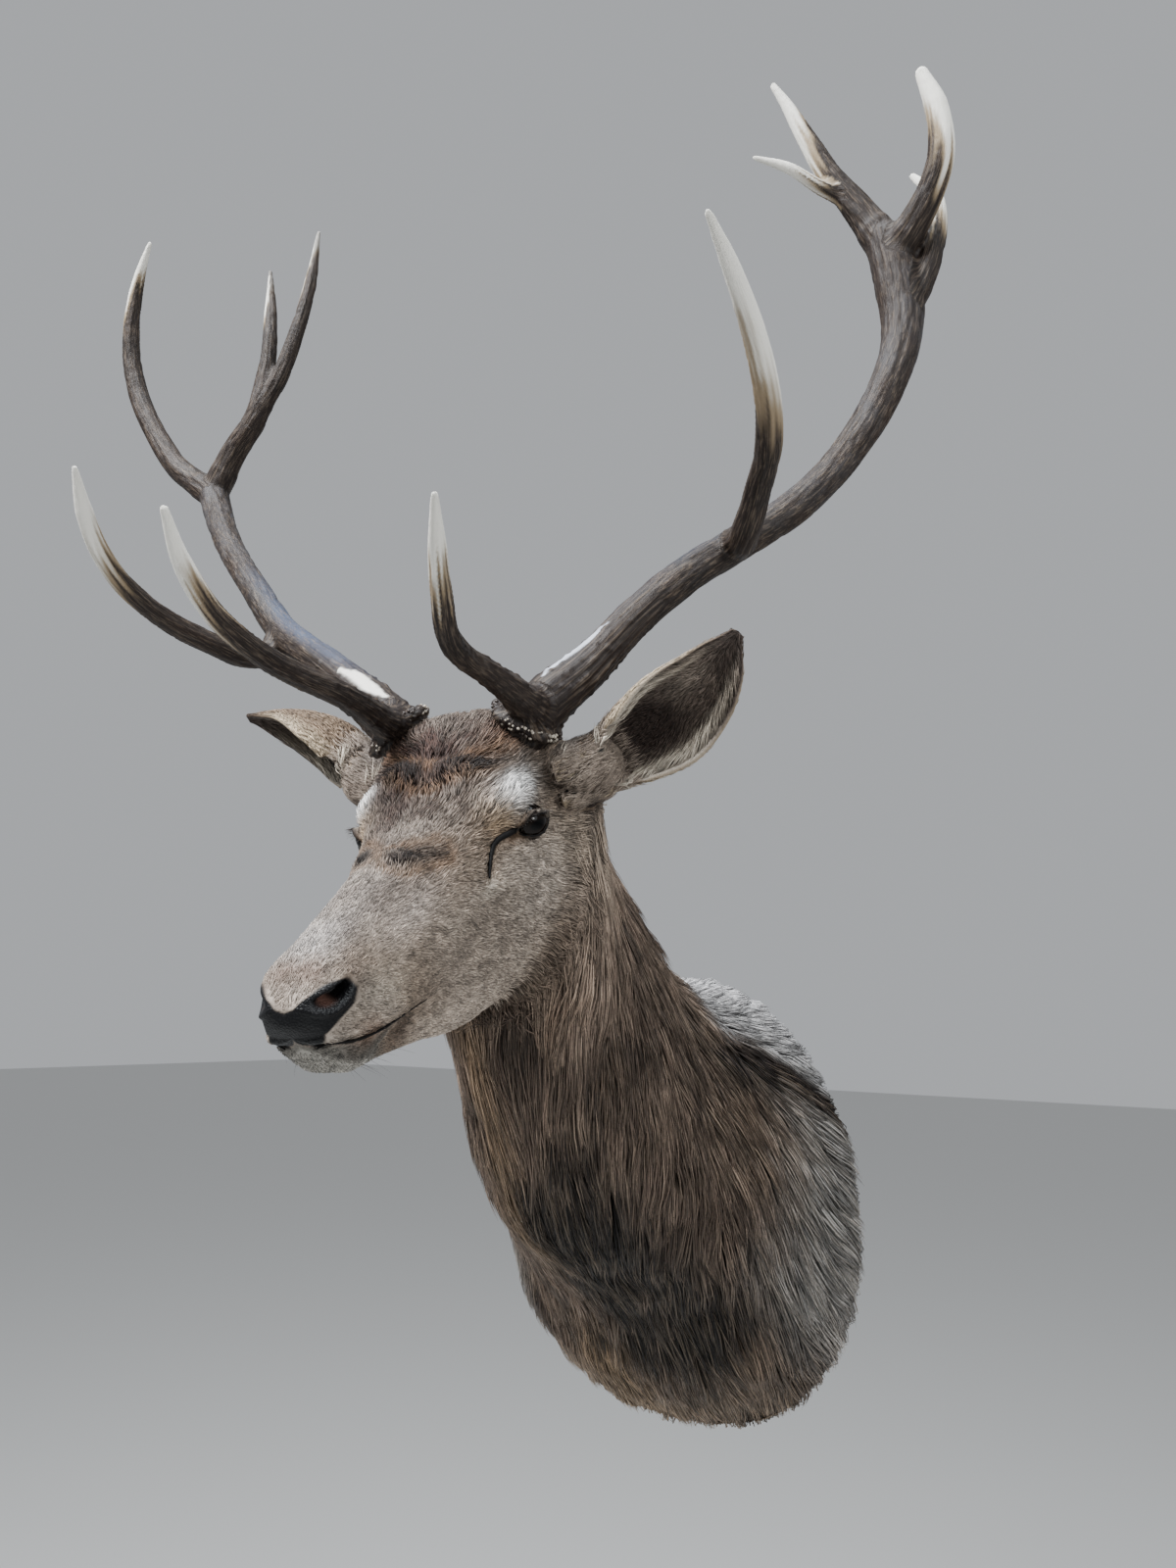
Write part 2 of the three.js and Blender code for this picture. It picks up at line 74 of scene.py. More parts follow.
# %% Floor, sky and lights
def plain_material(name, color, roughness):
    material = bpy.data.materials.new(name)
    material.use_nodes = True
    shader = material.node_tree.nodes["Principled BSDF"]
    shader.inputs["Base Color"].default_value = (*color, 1)
    shader.inputs["Roughness"].default_value = roughness
    return material


FLOOR_DROP = 1.75  # metres from the frame's origin down to the floor
bpy.ops.mesh.primitive_plane_add(size=60, location=(0, 0, -FLOOR_DROP))
floor = bpy.context.object
floor.name = "floor"
floor.data.materials.append(plain_material("pale_floor", (0.64, 0.64, 0.63), 0.9))

world = bpy.data.worlds.new("sky")
bpy.context.scene.world = world
world.use_nodes = True
sky = world.node_tree.nodes["Background"].inputs
sky["Color"].default_value = (0.93, 0.96, 1.0, 1)
sky["Strength"].default_value = 0.48


def soft_light(name, place, aim, size, power, color=(1, 1, 1)):
    data = bpy.data.lights.new(name, "AREA")
    data.shape = "DISK"
    data.size = size
    data.energy = power
    data.color = color
    light = bpy.data.objects.new(name, data)
    bpy.context.scene.collection.objects.link(light)
    light.location = place
    light.rotation_euler = (Vector(aim) - Vector(place)).to_track_quat("-Z", "Y").to_euler()


soft_light("sky_panel", (0.2, -1.5, 3.3), (0, -0.4, 0.2), 3.0, 190, (0.9, 0.96, 1))
soft_light("key", (-0.9, -2.3, 2.5), (0, -0.4, 0.35), 1.2, 215, (0.97, 0.98, 1))
soft_light("fill", (2.4, -1.2, 1.2), (0, -0.3, 0.2), 1.6, 22, (0.9, 0.96, 1))
soft_light("catch", (1.44, -1.1, 0.7), (0.1, -0.5, 0.36), 0.25, 6)
print("stage is set")

# %% [markdown]
# ## The form under the skin
# On the bench a taxidermist carves a form as one long body from nose to wall. Here it is a
# row of rings. Each has a top and an underside, a half width, the height at which it is
# widest, and how square it is above and below. The head's rings are written in the head's
# own frame, with its origin between the eyes, and turned into place. A smooth curve runs
# through the rings, so the surface can be asked for at any fraction between two of them.

# %% Rings of the body
HEAD_PLACE = np.array([12.0, -532.0, 364.0])
HEAD_TURN, HEAD_NOD, HEAD_TILT = 12.2, 31.4, 3.7
HEAD_RINGS = np.array([
    [290, -20, 280, -47, 13, 0.5, 2.2, 2.2],
    [287, -12, 276, -56, 22, 0.5, 2.3, 2.3],
    [280, -3, 266, -68, 28, 0.5, 2.3, 2.3],
    [267, 5, 253, -79, 33, 0.48, 2.3, 2.3],
    [248, 12, 236, -87, 38, 0.48, 2.2, 2.3],
    [222, 17, 213, -95, 40, 0.48, 2.1, 2.3],
    [185, 22, 183, -107, 43, 0.5, 2.0, 2.2],
    [145, 26, 150, -121, 47, 0.55, 2.0, 2.1],
    [108, 30, 121, -135, 53, 0.61, 2.0, 2.0],
    [74, 34, 95, -146, 61, 0.65, 2.1, 1.9],
    [45, 41, 72, -154, 69, 0.68, 2.2, 1.85],
    [20, 50, 53, -159, 75, 0.69, 2.3, 1.8],
    [-5, 59, 39, -163, 81, 0.69, 2.3, 1.8],
    [-30, 69, 29, -165, 83, 0.67, 2.2, 1.8],
    [-55, 77, 21, -167, 85, 0.65, 2.1, 1.8],
    [-80, 80, 15, -169, 91, 0.62, 2.0, 1.85],
    [-105, 77, 10, -171, 101, 0.59, 2.0, 1.9],
])
NECK_RINGS = np.array([
    [-4, -462, 483, 9, -450, 199, 109, 0.57, 2.0, 1.9, 0.8],
    [-4, -430, 468, 8, -447, 183, 110, 0.55, 2.0, 1.85, 0.55],
    [-3, -386, 443, 6, -438, 158, 105, 0.52, 2.0, 1.8, 0.3],
    [-2, -332, 410, 3, -424, 126, 101, 0.49, 2.0, 1.8, 0.12],
    [-1, -276, 372, 1, -404, 84, 103, 0.47, 2.0, 1.8, 0],
    [0, -219, 326, 0, -370, 30, 114, 0.46, 2.0, 1.85, 0],
    [0, -166, 282, 0, -317, -24, 127, 0.45, 2.0, 1.9, 0],
    [0, -113, 258, 0, -247, -64, 151, 0.45, 2.0, 2.0, 0],
    [0, -63, 256, 0, -166, -120, 183, 0.45, 2.0, 2.2, 0],
    [0, -24, 263, 0, -94, -200, 210, 0.46, 2.0, 2.4, 0],
    [0, -1, 266, 0, -1, -264, 226, 0.47, 2.0, 2.4, 0],
])
HEAD_END = len(HEAD_RINGS)
WALL_END = HEAD_END + len(NECK_RINGS) - 1


def turn_about(axis, degrees):
    return np.array(Matrix.Rotation(math.radians(degrees), 3, axis))


HEAD_TURNED = turn_about("Z", HEAD_TURN) @ turn_about("X", HEAD_NOD) @ turn_about("Y", -HEAD_TILT)


def from_head(points):
    return np.asarray(points, float) @ HEAD_TURNED.T + HEAD_PLACE


def to_head(points):
    return (points - HEAD_PLACE) @ HEAD_TURNED


def mirrored(points, side):
    """Points of the head's left half for side 1, or their mirror images for side -1."""
    return np.asarray(points, float) * [side, 1, 1]


def unit(v):
    return v / (np.linalg.norm(v, axis=-1, keepdims=True) + 1e-12)


def between(low, high, value):
    """0 at low, 1 at high, with a soft start and end."""
    t = np.clip((value - low) / (high - low), 0, 1)
    return t * t * (3 - 2 * t)


def mix(a, b, t):
    return a + (b - a) * t


def bell(distance, width):
    """1 at no distance, fading to 0 over about two widths."""
    return np.exp(-((distance / width) ** 2))


def smooth_rows(rows, s):
    last = len(rows) - 1
    i = np.clip(np.floor(s).astype(int), 0, last - 1)
    t = (s - i)[:, None]
    a, b, c, d = (rows[np.clip(i + k, 0, last)] for k in (-1, 0, 1, 2))
    cubic = 3 * b - a - 3 * c + d
    return 0.5 * (2 * b + (c - a) * t + (2 * a - 5 * b + 4 * c - d) * t**2 + cubic * t**3)


head_rows = [
    [*from_head([0, -r[0], r[1]]), *from_head([0, -r[2], r[3]]), *r[4:], 1] for r in HEAD_RINGS
]
BODY_ROWS = np.array([*head_rows, *NECK_RINGS.tolist()])
print("rings:", len(BODY_ROWS))

# %% [markdown]
# ## The forms of the face
# Bones and muscles lift the skin in places: the brow, the cheek bone, the stems under the
# antlers. Each is one soft bump in the head's frame, alike on both sides, and together they
# turn a plain tube into a deer. The finer ones are only in the skin.

# %% Bumps and hollows
FACE_FORMS = [
    ((76, 0, 22), (16, 22, 12), (7, -1, 4)),  # brow over the eye
    ((72, -24, -30), (16, 22, 12), (4, 0, 0)),  # cheek bone under the eye
    ((60, 18, -80), (22, 34, 28), (6, 0, 0)),  # cheek muscle
    ((70, -42, -4), (22, 18, 18), (-9, 0, 0)),  # hollow before the eye
    ((74, 42, 12), (18, 20, 18), (-6, 0, 0)),  # temple
    ((50, 60, 66), (20, 22, 16), (7, 4, 12)),  # antler stem
    ((100, 107, 0), (60, 23, 34), (25, 3, 0)),  # butt of the ear
    ((34, -150, 8), (14, 50, 14), (-4, 0, -1)),  # side of the nose bridge
    ((34, -262, -12), (12, 16, 10), (4, 0, 2)),  # wing of the nostril
    ((38, -222, -50), (12, 36, 12), (4, 0, 0)),  # upper lip
    ((36, -222, -76), (12, 40, 9), (-7, 0, 2)),  # fold under the lip
]
SKIN_FORMS = [
    ((20, -2, 58), (26, 7, 14), (0, -2, 5)),  # ridge of the forehead whorl
    ((36, 14, 56), (22, 6, 14), (0, 0, -4)),  # hollow behind it
    ((26, -118, 24), (14, 6, 10), (1, -1, 4)),  # ridge of the whorl on the nose
    ((30, -108, 24), (14, 5, 10), (-1, 0, -3)),  # hollow behind it
    ((0, -30, 56), (13, 40, 14), (0, 0, -3.5)),  # groove of the forehead
    ((0, -268, 2), (8, 14, 10), (0, 2, -4)),  # dip between the nostrils
    ((24, -256, 2), (10, 12, 8), (1, 0, 3.5)),  # top of the nostril
    ((62, -70, -34), (14, 34, 8), (3, 0, 0)),  # crest from eye to lip
    ((56, -96, -62), (16, 30, 14), (-3, 0, 0)),  # hollow of the cheek
    ((48, -190, -30), (14, 26, 10), (2, 0, 0)),  # pad of the upper lip
    ((20, -258, -72), (16, 16, 8), (2, -2, -3)),  # chin
    ((78, 20, -40), (12, 40, 7), (3.5, 0, 1)),  # arch of the cheek bone
    ((96, 76, 0), (14, 8, 36), (-5, -1, 0)),  # furrow before the ear
]


def pushed(points, forms):
    local = to_head(points)
    side = np.where(local[..., :1] < 0, -1.0, 1.0)
    folded = local.copy()
    folded[..., :1] = np.abs(folded[..., :1])
    moved = local.copy()
    for at, spread, push in forms:
        share = np.exp(-0.5 * (((folded - at) / spread) ** 2).sum(-1, keepdims=True))
        moved += share * np.array(push) * np.concatenate([side, side * 0 + 1, side * 0 + 1], -1)
    return from_head(moved)


def body_rings(s, degrees, forms):
    """Points round the body at ring positions s and degrees from the top, in millimetres."""
    rows = smooth_rows(BODY_ROWS, np.asarray(s, float))
    top, under = rows[:, :3], rows[:, 3:6]
    half, widest, above, below, turned = rows[:, 6:].T
    across = unit(mix(np.array([[1.0, 0, 0]]), HEAD_TURNED[:, 0], turned[:, None]))
    height = np.linalg.norm(top - under, axis=1)
    up = unit(top - under)
    centre = under + up * (height * widest)[:, None]
    angle = np.radians(degrees)
    c, sn = np.cos(angle), np.sin(angle)
    power = np.where(c > 0, 2 / above[:, None], 2 / below[:, None])
    reach = np.where(c > 0, ((1 - widest) * height)[:, None], (widest * height)[:, None])
    x = half[:, None] * np.sign(sn) * np.abs(sn) ** power
    h = reach * np.sign(c) * np.abs(c) ** power
    points = centre[:, None] + across[:, None] * x[..., None] + up[:, None] * h[..., None]
    return pushed(points, forms)


# %% [markdown]
# ## A sheet that tufts can walk on
# The skin and each side of an ear are grids of points. Keeping them as a grid pays off
# twice: the faces come for free, and a hair can walk over the surface, because a direction
# in space turns into so many rows and so many columns.

# %% Sheets
class Sheet:
    """A grid of points, closed round its columns or open, with normals facing out."""

    def __init__(self, points, closed, flip=False):
        self.points, self.closed, self.flip = points, closed, flip
        self.refresh()

    def refresh(self):
        p = self.points
        self.rows, self.cols = p.shape[:2]
        self.along = np.gradient(p, axis=0)
        if self.closed:
            self.round = (np.roll(p, -1, 1) - np.roll(p, 1, 1)) / 2
        else:
            self.round = np.gradient(p, axis=1)
        self.normals = unit(np.cross(self.along, self.round)) * (-1 if self.flip else 1)

    def look(self, table, i, j):
        """A table's value at fractional row i and column j."""
        i = np.clip(i, 0, self.rows - 1.001)
        j = j % self.cols if self.closed else np.clip(j, 0, self.cols - 1.001)
        i0, j0 = np.floor(i).astype(int), np.floor(j).astype(int)
        j0 = j0 % self.cols
        j1 = (j0 + 1) % self.cols
        a, b = i - i0, j - np.floor(j)
        if table.ndim == 3:
            a, b = a[:, None], b[:, None]
        low = table[i0, j0] * (1 - b) + table[i0, j1] * b
        high = table[i0 + 1, j0] * (1 - b) + table[i0 + 1, j1] * b
        return low * (1 - a) + high * a

    def step(self, i, j, direction, length):
        """Walks length millimetres over the sheet in a direction given in space."""
        u, v = self.look(self.along, i, j), self.look(self.round, i, j)
        uu, uv, vv = (u * u).sum(-1), (u * v).sum(-1), (v * v).sum(-1)
        p, q = (direction * u).sum(-1), (direction * v).sum(-1)
        det = uu * vv - uv**2 + 1e-9
        return i + length * (vv * p - uv * q) / det, j + length * (uu * q - uv * p) / det

    def scatter(self, count, density, random):
        """About count random places, even over the area times a density given for each cell."""
        cells = self.cols if self.closed else self.cols - 1
        j1 = (np.arange(cells) + 1) % self.cols
        edge_a = self.points[1:, :cells] - self.points[:-1, :cells]
        edge_b = self.points[:-1, j1] - self.points[:-1, :cells]
        area = np.linalg.norm(np.cross(edge_a, edge_b), axis=-1)
        weight = (area * density[: self.rows - 1, :cells]).ravel()
        share = np.floor(weight / weight.sum() * count + random.random(weight.size)).astype(int)
        cell = np.repeat(np.arange(weight.size), share)
        return cell // cells + random.random(len(cell)), cell % cells + random.random(len(cell))


# %% [markdown]
# ## Soft noise
# Real coats are never even. A cheap noise field in plain array code gives each tuft a
# value from its place, so skin and coat can share it.

# %% Noise
def noise(points, size, seed=0):
    """A smooth random field from -1 to 1 whose lumps are about size millimetres."""
    p = np.asarray(points, float) / size + 1000.0
    cell = np.floor(p).astype(np.int64)
    t = p - cell
    t = t * t * (3 - 2 * t)
    total = 0
    for corner in np.ndindex(2, 2, 2):
        k = cell + corner
        key = k[..., 0] * 73856093 ^ k[..., 1] * 19349663 ^ k[..., 2] * 83492791 ^ (seed * 2654435)
        key = (key ^ (key >> 13)) * 1274126177
        value = ((key ^ (key >> 16)) & 0xFFFF) / 32767.5 - 1
        share = np.prod(np.where(np.array(corner) == 1, t, 1 - t), axis=-1)
        total = total + value * share
    return total


def lumps(points, size, seed=0):
    return noise(points, size, seed) * 0.65 + noise(points, size / 2.1, seed + 7) * 0.35


def sway_at(points, size, seed):
    """A smooth random direction at each point."""
    return np.stack([lumps(points, size, seed + k) for k in range(3)], axis=1)


# %% [markdown]
# ## The skin of head, neck and shoulders
# The skin lies inside the coat by the depth of the hair: 2 to 4 mm on the face and 12 to
# 15 mm on the neck. Rows are close together where the face needs them. The nose is
# rounded off to a pole, and at the wall the hide is tucked round the edge of the board.

# %% Skin grid
COLUMNS = 240
stations = np.concatenate([
    np.arange(0, 4, 0.12), np.arange(4, 8, 0.055), np.arange(8, 14, 0.055),
    np.arange(14, 17, 0.1), np.arange(17, WALL_END, 0.14), [WALL_END - 0.02]])
one_side = np.linspace(0, 180, 721)
closeness = np.cumsum(1 + 1.5 * between(38, 52, one_side) * (1 - between(112, 130, one_side)))
closeness = (closeness - closeness[0]) / (closeness[-1] - closeness[0])
one_side = np.interp(np.linspace(0, 1, COLUMNS // 2 + 1), closeness, one_side)
DEGREES = np.concatenate([one_side[:-1], 360 - one_side[:0:-1]])


def coat_depth(s):
    face = mix(2.2, 4.0, between(8, 12, s))
    return mix(mix(face, 12.0, between(14.5, 18.5, s)), 15.0, between(19, 22, s))


coat_surface = Sheet(body_rings(stations, DEGREES, FACE_FORMS), closed=True)
if ((coat_surface.points - coat_surface.points.mean(1, keepdims=True)) * coat_surface.normals).sum() < 0:
    coat_surface.flip = True
    coat_surface.refresh()
skin_points = coat_surface.points - coat_surface.normals * coat_depth(stations)[:, None, None]
skin_points[..., 1] = np.minimum(skin_points[..., 1], -1.2)
body = Sheet(pushed(skin_points, SKIN_FORMS), closed=True, flip=coat_surface.flip)
ROW_S = np.repeat(stations[:, None], COLUMNS, 1)
TURN = np.repeat(np.minimum(DEGREES, 360 - DEGREES)[None], len(stations), 0)
ON_LEFT = np.repeat((DEGREES < 180)[None], len(stations), 0)
print("skin grid:", body.points.shape[:2])

# %% [markdown]
# ## Eyes, lids, nostrils and mouth
# The face is what people look at, so it is sculpted point by point. Round each eye the skin
# is drawn out over the glass ball and opened in an almond shape, with the tear pit as a slit
# below its front corner. The nostrils are commas sunk into the nose, and the mouth is a
# groove that ends under the cheek.

# %% Sculpt the eyes
EYE = {"centre": np.array([74.0, 1.0, -2.0]), "radius": 16.6, "long": 21.0, "upper": 9.2, "lower": 9.2}
EYE_OUT = unit(np.array([0.79, -0.61, 0.0]))
EYE_FRONT = unit(np.cross(np.cross(EYE_OUT, [-0.5, -0.84, -0.12]), EYE_OUT))
EYE_UP = np.cross(EYE_FRONT, EYE_OUT)
TEAR_PIT = np.array([
    [70.0, -20, -1], [69, -27, 0], [64, -36, 0], [60, -45, -2], [60, -58, -9], [62, -73, -20]])


def eye_chart(local):
    """Distance forwards and up over the ball, and out from its centre, for points of the face."""
    ray = local - EYE["centre"]
    reach = np.linalg.norm(ray, axis=-1)
    aim = ray / (reach[..., None] + 1e-9)
    away = np.arccos(np.clip(aim @ EYE_OUT, -1, 1)) * EYE["radius"]
    front, up = aim @ EYE_FRONT, aim @ EYE_UP
    flat = np.hypot(front, up) + 1e-9
    front, up = away * front / flat, away * up / flat
    ahead = ray @ EYE_FRONT * 1.1  # beyond the lids a straight measure says more than an angle
    return np.where(np.abs(ahead) > np.abs(front), ahead, front), up, reach, aim


def almond(front, up):
    """0 in the middle of the eye opening, 1 on its rim."""
    tall = np.where(up > 0, EYE["upper"], EYE["lower"])
    taper = np.clip(1 - np.abs(front) / (EYE["long"] * 1.1), 0.08, 1) ** 0.42
    return np.hypot(front / EYE["long"], up / (tall * taper))


def distance_to_line(points, line):
    best = np.full(points.shape[:-1], 1e9)
    share = np.zeros(points.shape[:-1])
    for k in range(len(line) - 1):
        a, d = line[k], line[k + 1] - line[k]
        t = np.clip(((points - a) @ d) / (d @ d), 0, 1)
        gap = np.linalg.norm(points - a - t[..., None] * d, axis=-1)
        share = np.where(gap < best, (k + t) / (len(line) - 1), share)
        best = np.minimum(best, gap)
    return best, share


def folded(local):
    out = local.copy()
    out[..., 0] = np.abs(out[..., 0])
    return out


local = to_head(body.points)
mirror = np.where(local[..., 0] < 0, -1.0, 1.0)
half_face = folded(local)
front, up, reach, aim = eye_chart(half_face)
rim = almond(front, up)
near = reach < 60
lid = EYE["radius"] + 3.0 + 2.6 * between(-3, 8, up)
spread = between(1.02, 2.3, rim)
outside = mix(lid, reach, spread)
opened = mix(EYE["radius"] - 6.0, outside, between(0.84, 1.0, rim))
sculpted = EYE["centre"] + aim * opened[..., None]
half_face = np.where((near & (rim < 2.3))[..., None], sculpted, half_face)
pit_gap, pit_share = distance_to_line(half_face, TEAR_PIT)
inward = unit(np.array([-0.86, 0.5, -0.05]))
pit_width = mix(3.3, 2.1, pit_share)
pit_depth = 8.0 * bell(pit_gap, pit_width)
pit_ridge = 1.8 * bell(pit_gap - 7.0, 2.6)
half_face = half_face + inward * (pit_depth - pit_ridge)[..., None] * between(1.0, 1.25, rim)[..., None]

# %% Sculpt the nostrils and the mouth
NOSTRIL = np.array([28.5, -267.0, -12.5])
NOSTRIL_ALONG = unit(np.array([12.0, 29.0, 2.5]))
NOSTRIL_OUT = unit(np.array([0.9, -0.42, 0.1]))
NOSTRIL_UP = np.cross(NOSTRIL_OUT, NOSTRIL_ALONG)
MOUTH_S = np.array([-1, 0, 0.2, 1.2, 2.2, 3.65, 5.35, 6.6, 7.2])
MOUTH_DEGREES = np.array([180, 136, 126, 109, 105, 103, 111, 115, 112])


def nostril_chart(local):
    d = local - NOSTRIL
    a, b = d @ NOSTRIL_ALONG, d @ NOSTRIL_UP
    return np.hypot(a / 14.5, (b - 0.012 * a * a + 1.0) / 5.4)


hole = nostril_chart(half_face)
sink = 13.0 * (1 - between(0.35, 1.15, hole)) - 1.8 * bell(hole - 1.5, 0.36)
only_nose = (half_face[..., 1] < -235)[..., None]
half_face = half_face - only_nose * sink[..., None] * (NOSTRIL_OUT * 0.75 + np.array([0.1, -0.35, -0.2]))
arc = np.linalg.norm(body.round, axis=-1) / (((np.roll(DEGREES, -1) - np.roll(DEGREES, 1)) % 360) / 2)
mouth_gap = (TURN - np.interp(ROW_S, MOUTH_S, MOUTH_DEGREES)) * arc
mouth_fade = (1 - between(6.2, 7.0, ROW_S)) * mix(0.4, 1.0, between(0.1, 0.9, ROW_S))
groove = 5.4 * bell(mouth_gap, 1.9) * mouth_fade
lip = 2.2 * bell(mouth_gap + 6.5, 4.5) * (1 - between(5.0, 6.8, ROW_S))
half_face[..., 0] *= mirror
face_points = from_head(half_face) + body.normals * (lip - groove)[..., None]
is_head = (ROW_S < 16)[..., None]
body.points = np.where(is_head, face_points, body.points)
body.refresh()
along_mouth = np.linspace(0.15, 6.7, 18)
line_i = np.interp(along_mouth, stations, np.arange(len(stations)))
line_j = np.interp(np.interp(along_mouth, MOUTH_S, MOUTH_DEGREES), one_side, np.arange(len(one_side)))
MOUTH_LINE = folded(to_head(body.look(body.points, line_i, line_j)))
print("face sculpted")

# %% [markdown]
# ## Smooth lines through points
# Ears and antlers follow lines in space. A few knots say where a line goes, and a centripetal
# curve passes through them without loops. Even steps along it give rings of even spacing.

# %% Curve through knots
def curve_through(knots, count):
    """Even points on a curve through knots, its directions there, and its length."""
    knots = np.asarray(knots, float)
    k = np.vstack([2 * knots[0] - knots[1], knots, 2 * knots[-1] - knots[-2]])
    fine = []
    for p0, p1, p2, p3 in zip(k, k[1:], k[2:], k[3:]):
        d0, d1, d2 = (np.linalg.norm(b - a) ** 0.5 for a, b in ((p0, p1), (p1, p2), (p2, p3)))
        m1 = ((p1 - p0) / d0 - (p2 - p0) / (d0 + d1) + (p2 - p1) / d1) * d1
        m2 = ((p2 - p1) / d1 - (p3 - p1) / (d1 + d2) + (p3 - p2) / d2) * d1
        t = np.linspace(0, 1, 24, endpoint=False)[:, None]
        cubic = (2 * p1 - 2 * p2 + m1 + m2) * t**3
        fine.append(p1 + m1 * t + (3 * p2 - 3 * p1 - 2 * m1 - m2) * t**2 + cubic)
    fine = np.vstack([*fine, knots[-1:]])
    run = np.concatenate([[0], np.cumsum(np.linalg.norm(np.diff(fine, axis=0), axis=1))])
    even = np.linspace(0, run[-1], count)
    points = np.stack([np.interp(even, run, fine[:, c]) for c in range(3)], axis=1)
    return points, unit(np.gradient(points, axis=0)), run[-1]


# %% [markdown]
# ## Ears
# Each ear is a cup that opens forwards: an arc whose radius, span and wall change from root
# to tip, set along a curved back line. The same arcs give the outside and the inside as two
# sheets for the hair to walk on, and together they are one closed shell.

# %% Ear sheets
EAR_BACK = {
    1: [[70, 104, 12], [106, 117, 16], [152, 130, 36], [210, 137, 70], [254, 133, 110]],
    -1: [[70, 104, 26], [106, 117, 48], [152, 131, 75], [206, 133, 90], [250, 122, 98]],
}
EAR_FACING = {1: [0.32, -0.94, -0.05], -1: [0.42, -0.72, -0.55]}
EAR_STATIONS = np.array([
    [34, 165, 22], [33, 152, 16], [33, 136, 9], [36, 118, 6], [41, 103, 5.5],
    [45, 91, 5], [44, 79, 4.5], [39, 68, 4], [29, 58, 3.5], [10, 50, 3]])
EAR_ROWS, EAR_COLUMNS = 64, 34
EAR_MIDDLE = {}


def ear_sheets(side):
    back, along, _ = curve_through(EAR_BACK[side], EAR_ROWS)
    u = np.linspace(0, 1, EAR_ROWS)
    radius, span, wall = smooth_rows(EAR_STATIONS, u * (len(EAR_STATIONS) - 1)).T
    facing = np.array(EAR_FACING[side]) - along * (along @ EAR_FACING[side])[:, None]
    facing = unit(facing)
    across = np.cross(along, facing)
    centre = back + facing * radius[:, None]
    angle = np.radians(span)[:, None] * np.linspace(-1, 1, EAR_COLUMNS)[None]
    sheets = []
    for reach in (radius - 1.0, radius - np.maximum(wall - 0.2, 2.6)):
        reach = np.maximum(reach, 1.5)[:, None, None]
        ring = across[:, None] * np.sin(angle)[..., None] - facing[:, None] * np.cos(angle)[..., None]
        points = centre[:, None] + ring * reach
        points[..., 0] *= side
        sheets.append(from_head(points))
    outer, inner = sheets
    EAR_MIDDLE[side] = from_head(mirrored(centre, side))
    ripple = lumps(inner, 26, 5)[..., None] * 1.1
    inner = inner + ripple * unit(inner - outer)
    flip = side < 0
    return Sheet(outer, closed=False, flip=flip), Sheet(inner, closed=False, flip=not flip)


ears = {side: ear_sheets(side) for side, _ in SIDES}
for side, (outer, inner) in ears.items():
    out = unit(outer.points - inner.points)
    if (out * outer.normals).sum() < 0:
        outer.flip = not outer.flip
        outer.refresh()
    if (out * inner.normals).sum() > 0:
        inner.flip = not inner.flip
        inner.refresh()
print("ear sheets:", ears[1][0].points.shape[:2])

# %% [markdown]
# ## From grids to one skin
# The body grid is closed with a rounded nose in front and a tuck behind the board at the
# back, and each ear with its rim. A boolean union joins the ears on, and a few rounds of
# smoothing along the joint turn the crease into the soft root of a real ear.

# %% Mesh helpers
def grid_faces(rows, cols, closed):
    a = (np.arange(rows - 1)[:, None] * cols + np.arange(cols if closed else cols - 1)[None]).ravel()
    b = np.where(closed & (a % cols == cols - 1), a - cols + 1, a + 1)
    return np.stack([a, b, b + cols, a + cols], axis=1)


def ring_faces(rows, cols):
    """The faces of a tube of rings whose last ring joins the first."""
    return grid_faces(rows + 1, cols, True) % (rows * cols)


def new_mesh(name, points_mm, quads=(), tris=(), material=None, smooth=True):
    """A mesh object from millimetre points and lists of quads and triangles."""
    mesh = bpy.data.meshes.new(name)
    points = np.asarray(points_mm, float).reshape(-1, 3) * MM
    faces = [np.asarray(f, int).reshape(-1, n) for f, n in ((quads, 4), (tris, 3)) if len(f)]
    sizes = np.concatenate([np.full(len(f), f.shape[1]) for f in faces])
    mesh.vertices.add(len(points))
    mesh.vertices.foreach_set("co", points.ravel())
    mesh.loops.add(int(sizes.sum()))
    mesh.loops.foreach_set("vertex_index", np.concatenate([f.ravel() for f in faces]))
    mesh.polygons.add(len(sizes))
    mesh.polygons.foreach_set("loop_start", np.concatenate([[0], np.cumsum(sizes)[:-1]]))
    mesh.polygons.foreach_set("loop_total", sizes)
    mesh.update(calc_edges=True)
    mesh.polygons.foreach_set("use_smooth", np.full(len(sizes), smooth))
    if material:
        mesh.materials.append(material)
    made = bpy.data.objects.new(name, mesh)
    bpy.context.scene.collection.objects.link(made)
    return made


def set_values(made, name, values, kind="FLOAT"):
    """Stores one value or colour a vertex."""
    data = made.data.attributes.new(name, kind, "POINT").data
    if kind == "FLOAT_COLOR":
        values = np.concatenate([values, np.ones((len(values), 1))], axis=1)
    data.foreach_set("color" if kind == "FLOAT_COLOR" else "value", np.asarray(values, float).ravel())


def get_values(made, name):
    data = made.data.attributes[name].data
    values = np.zeros(len(data))
    data.foreach_get("value", values)
    return values


def vertex_places(made):
    places = np.zeros(len(made.data.vertices) * 3)
    made.data.vertices.foreach_get("co", places)
    return places.reshape(-1, 3) / MM


def face_outwards(made):
    work = bmesh.new()
    work.from_mesh(made.data)
    bmesh.ops.recalc_face_normals(work, faces=work.faces)
    work.to_mesh(made.data)
    work.free()


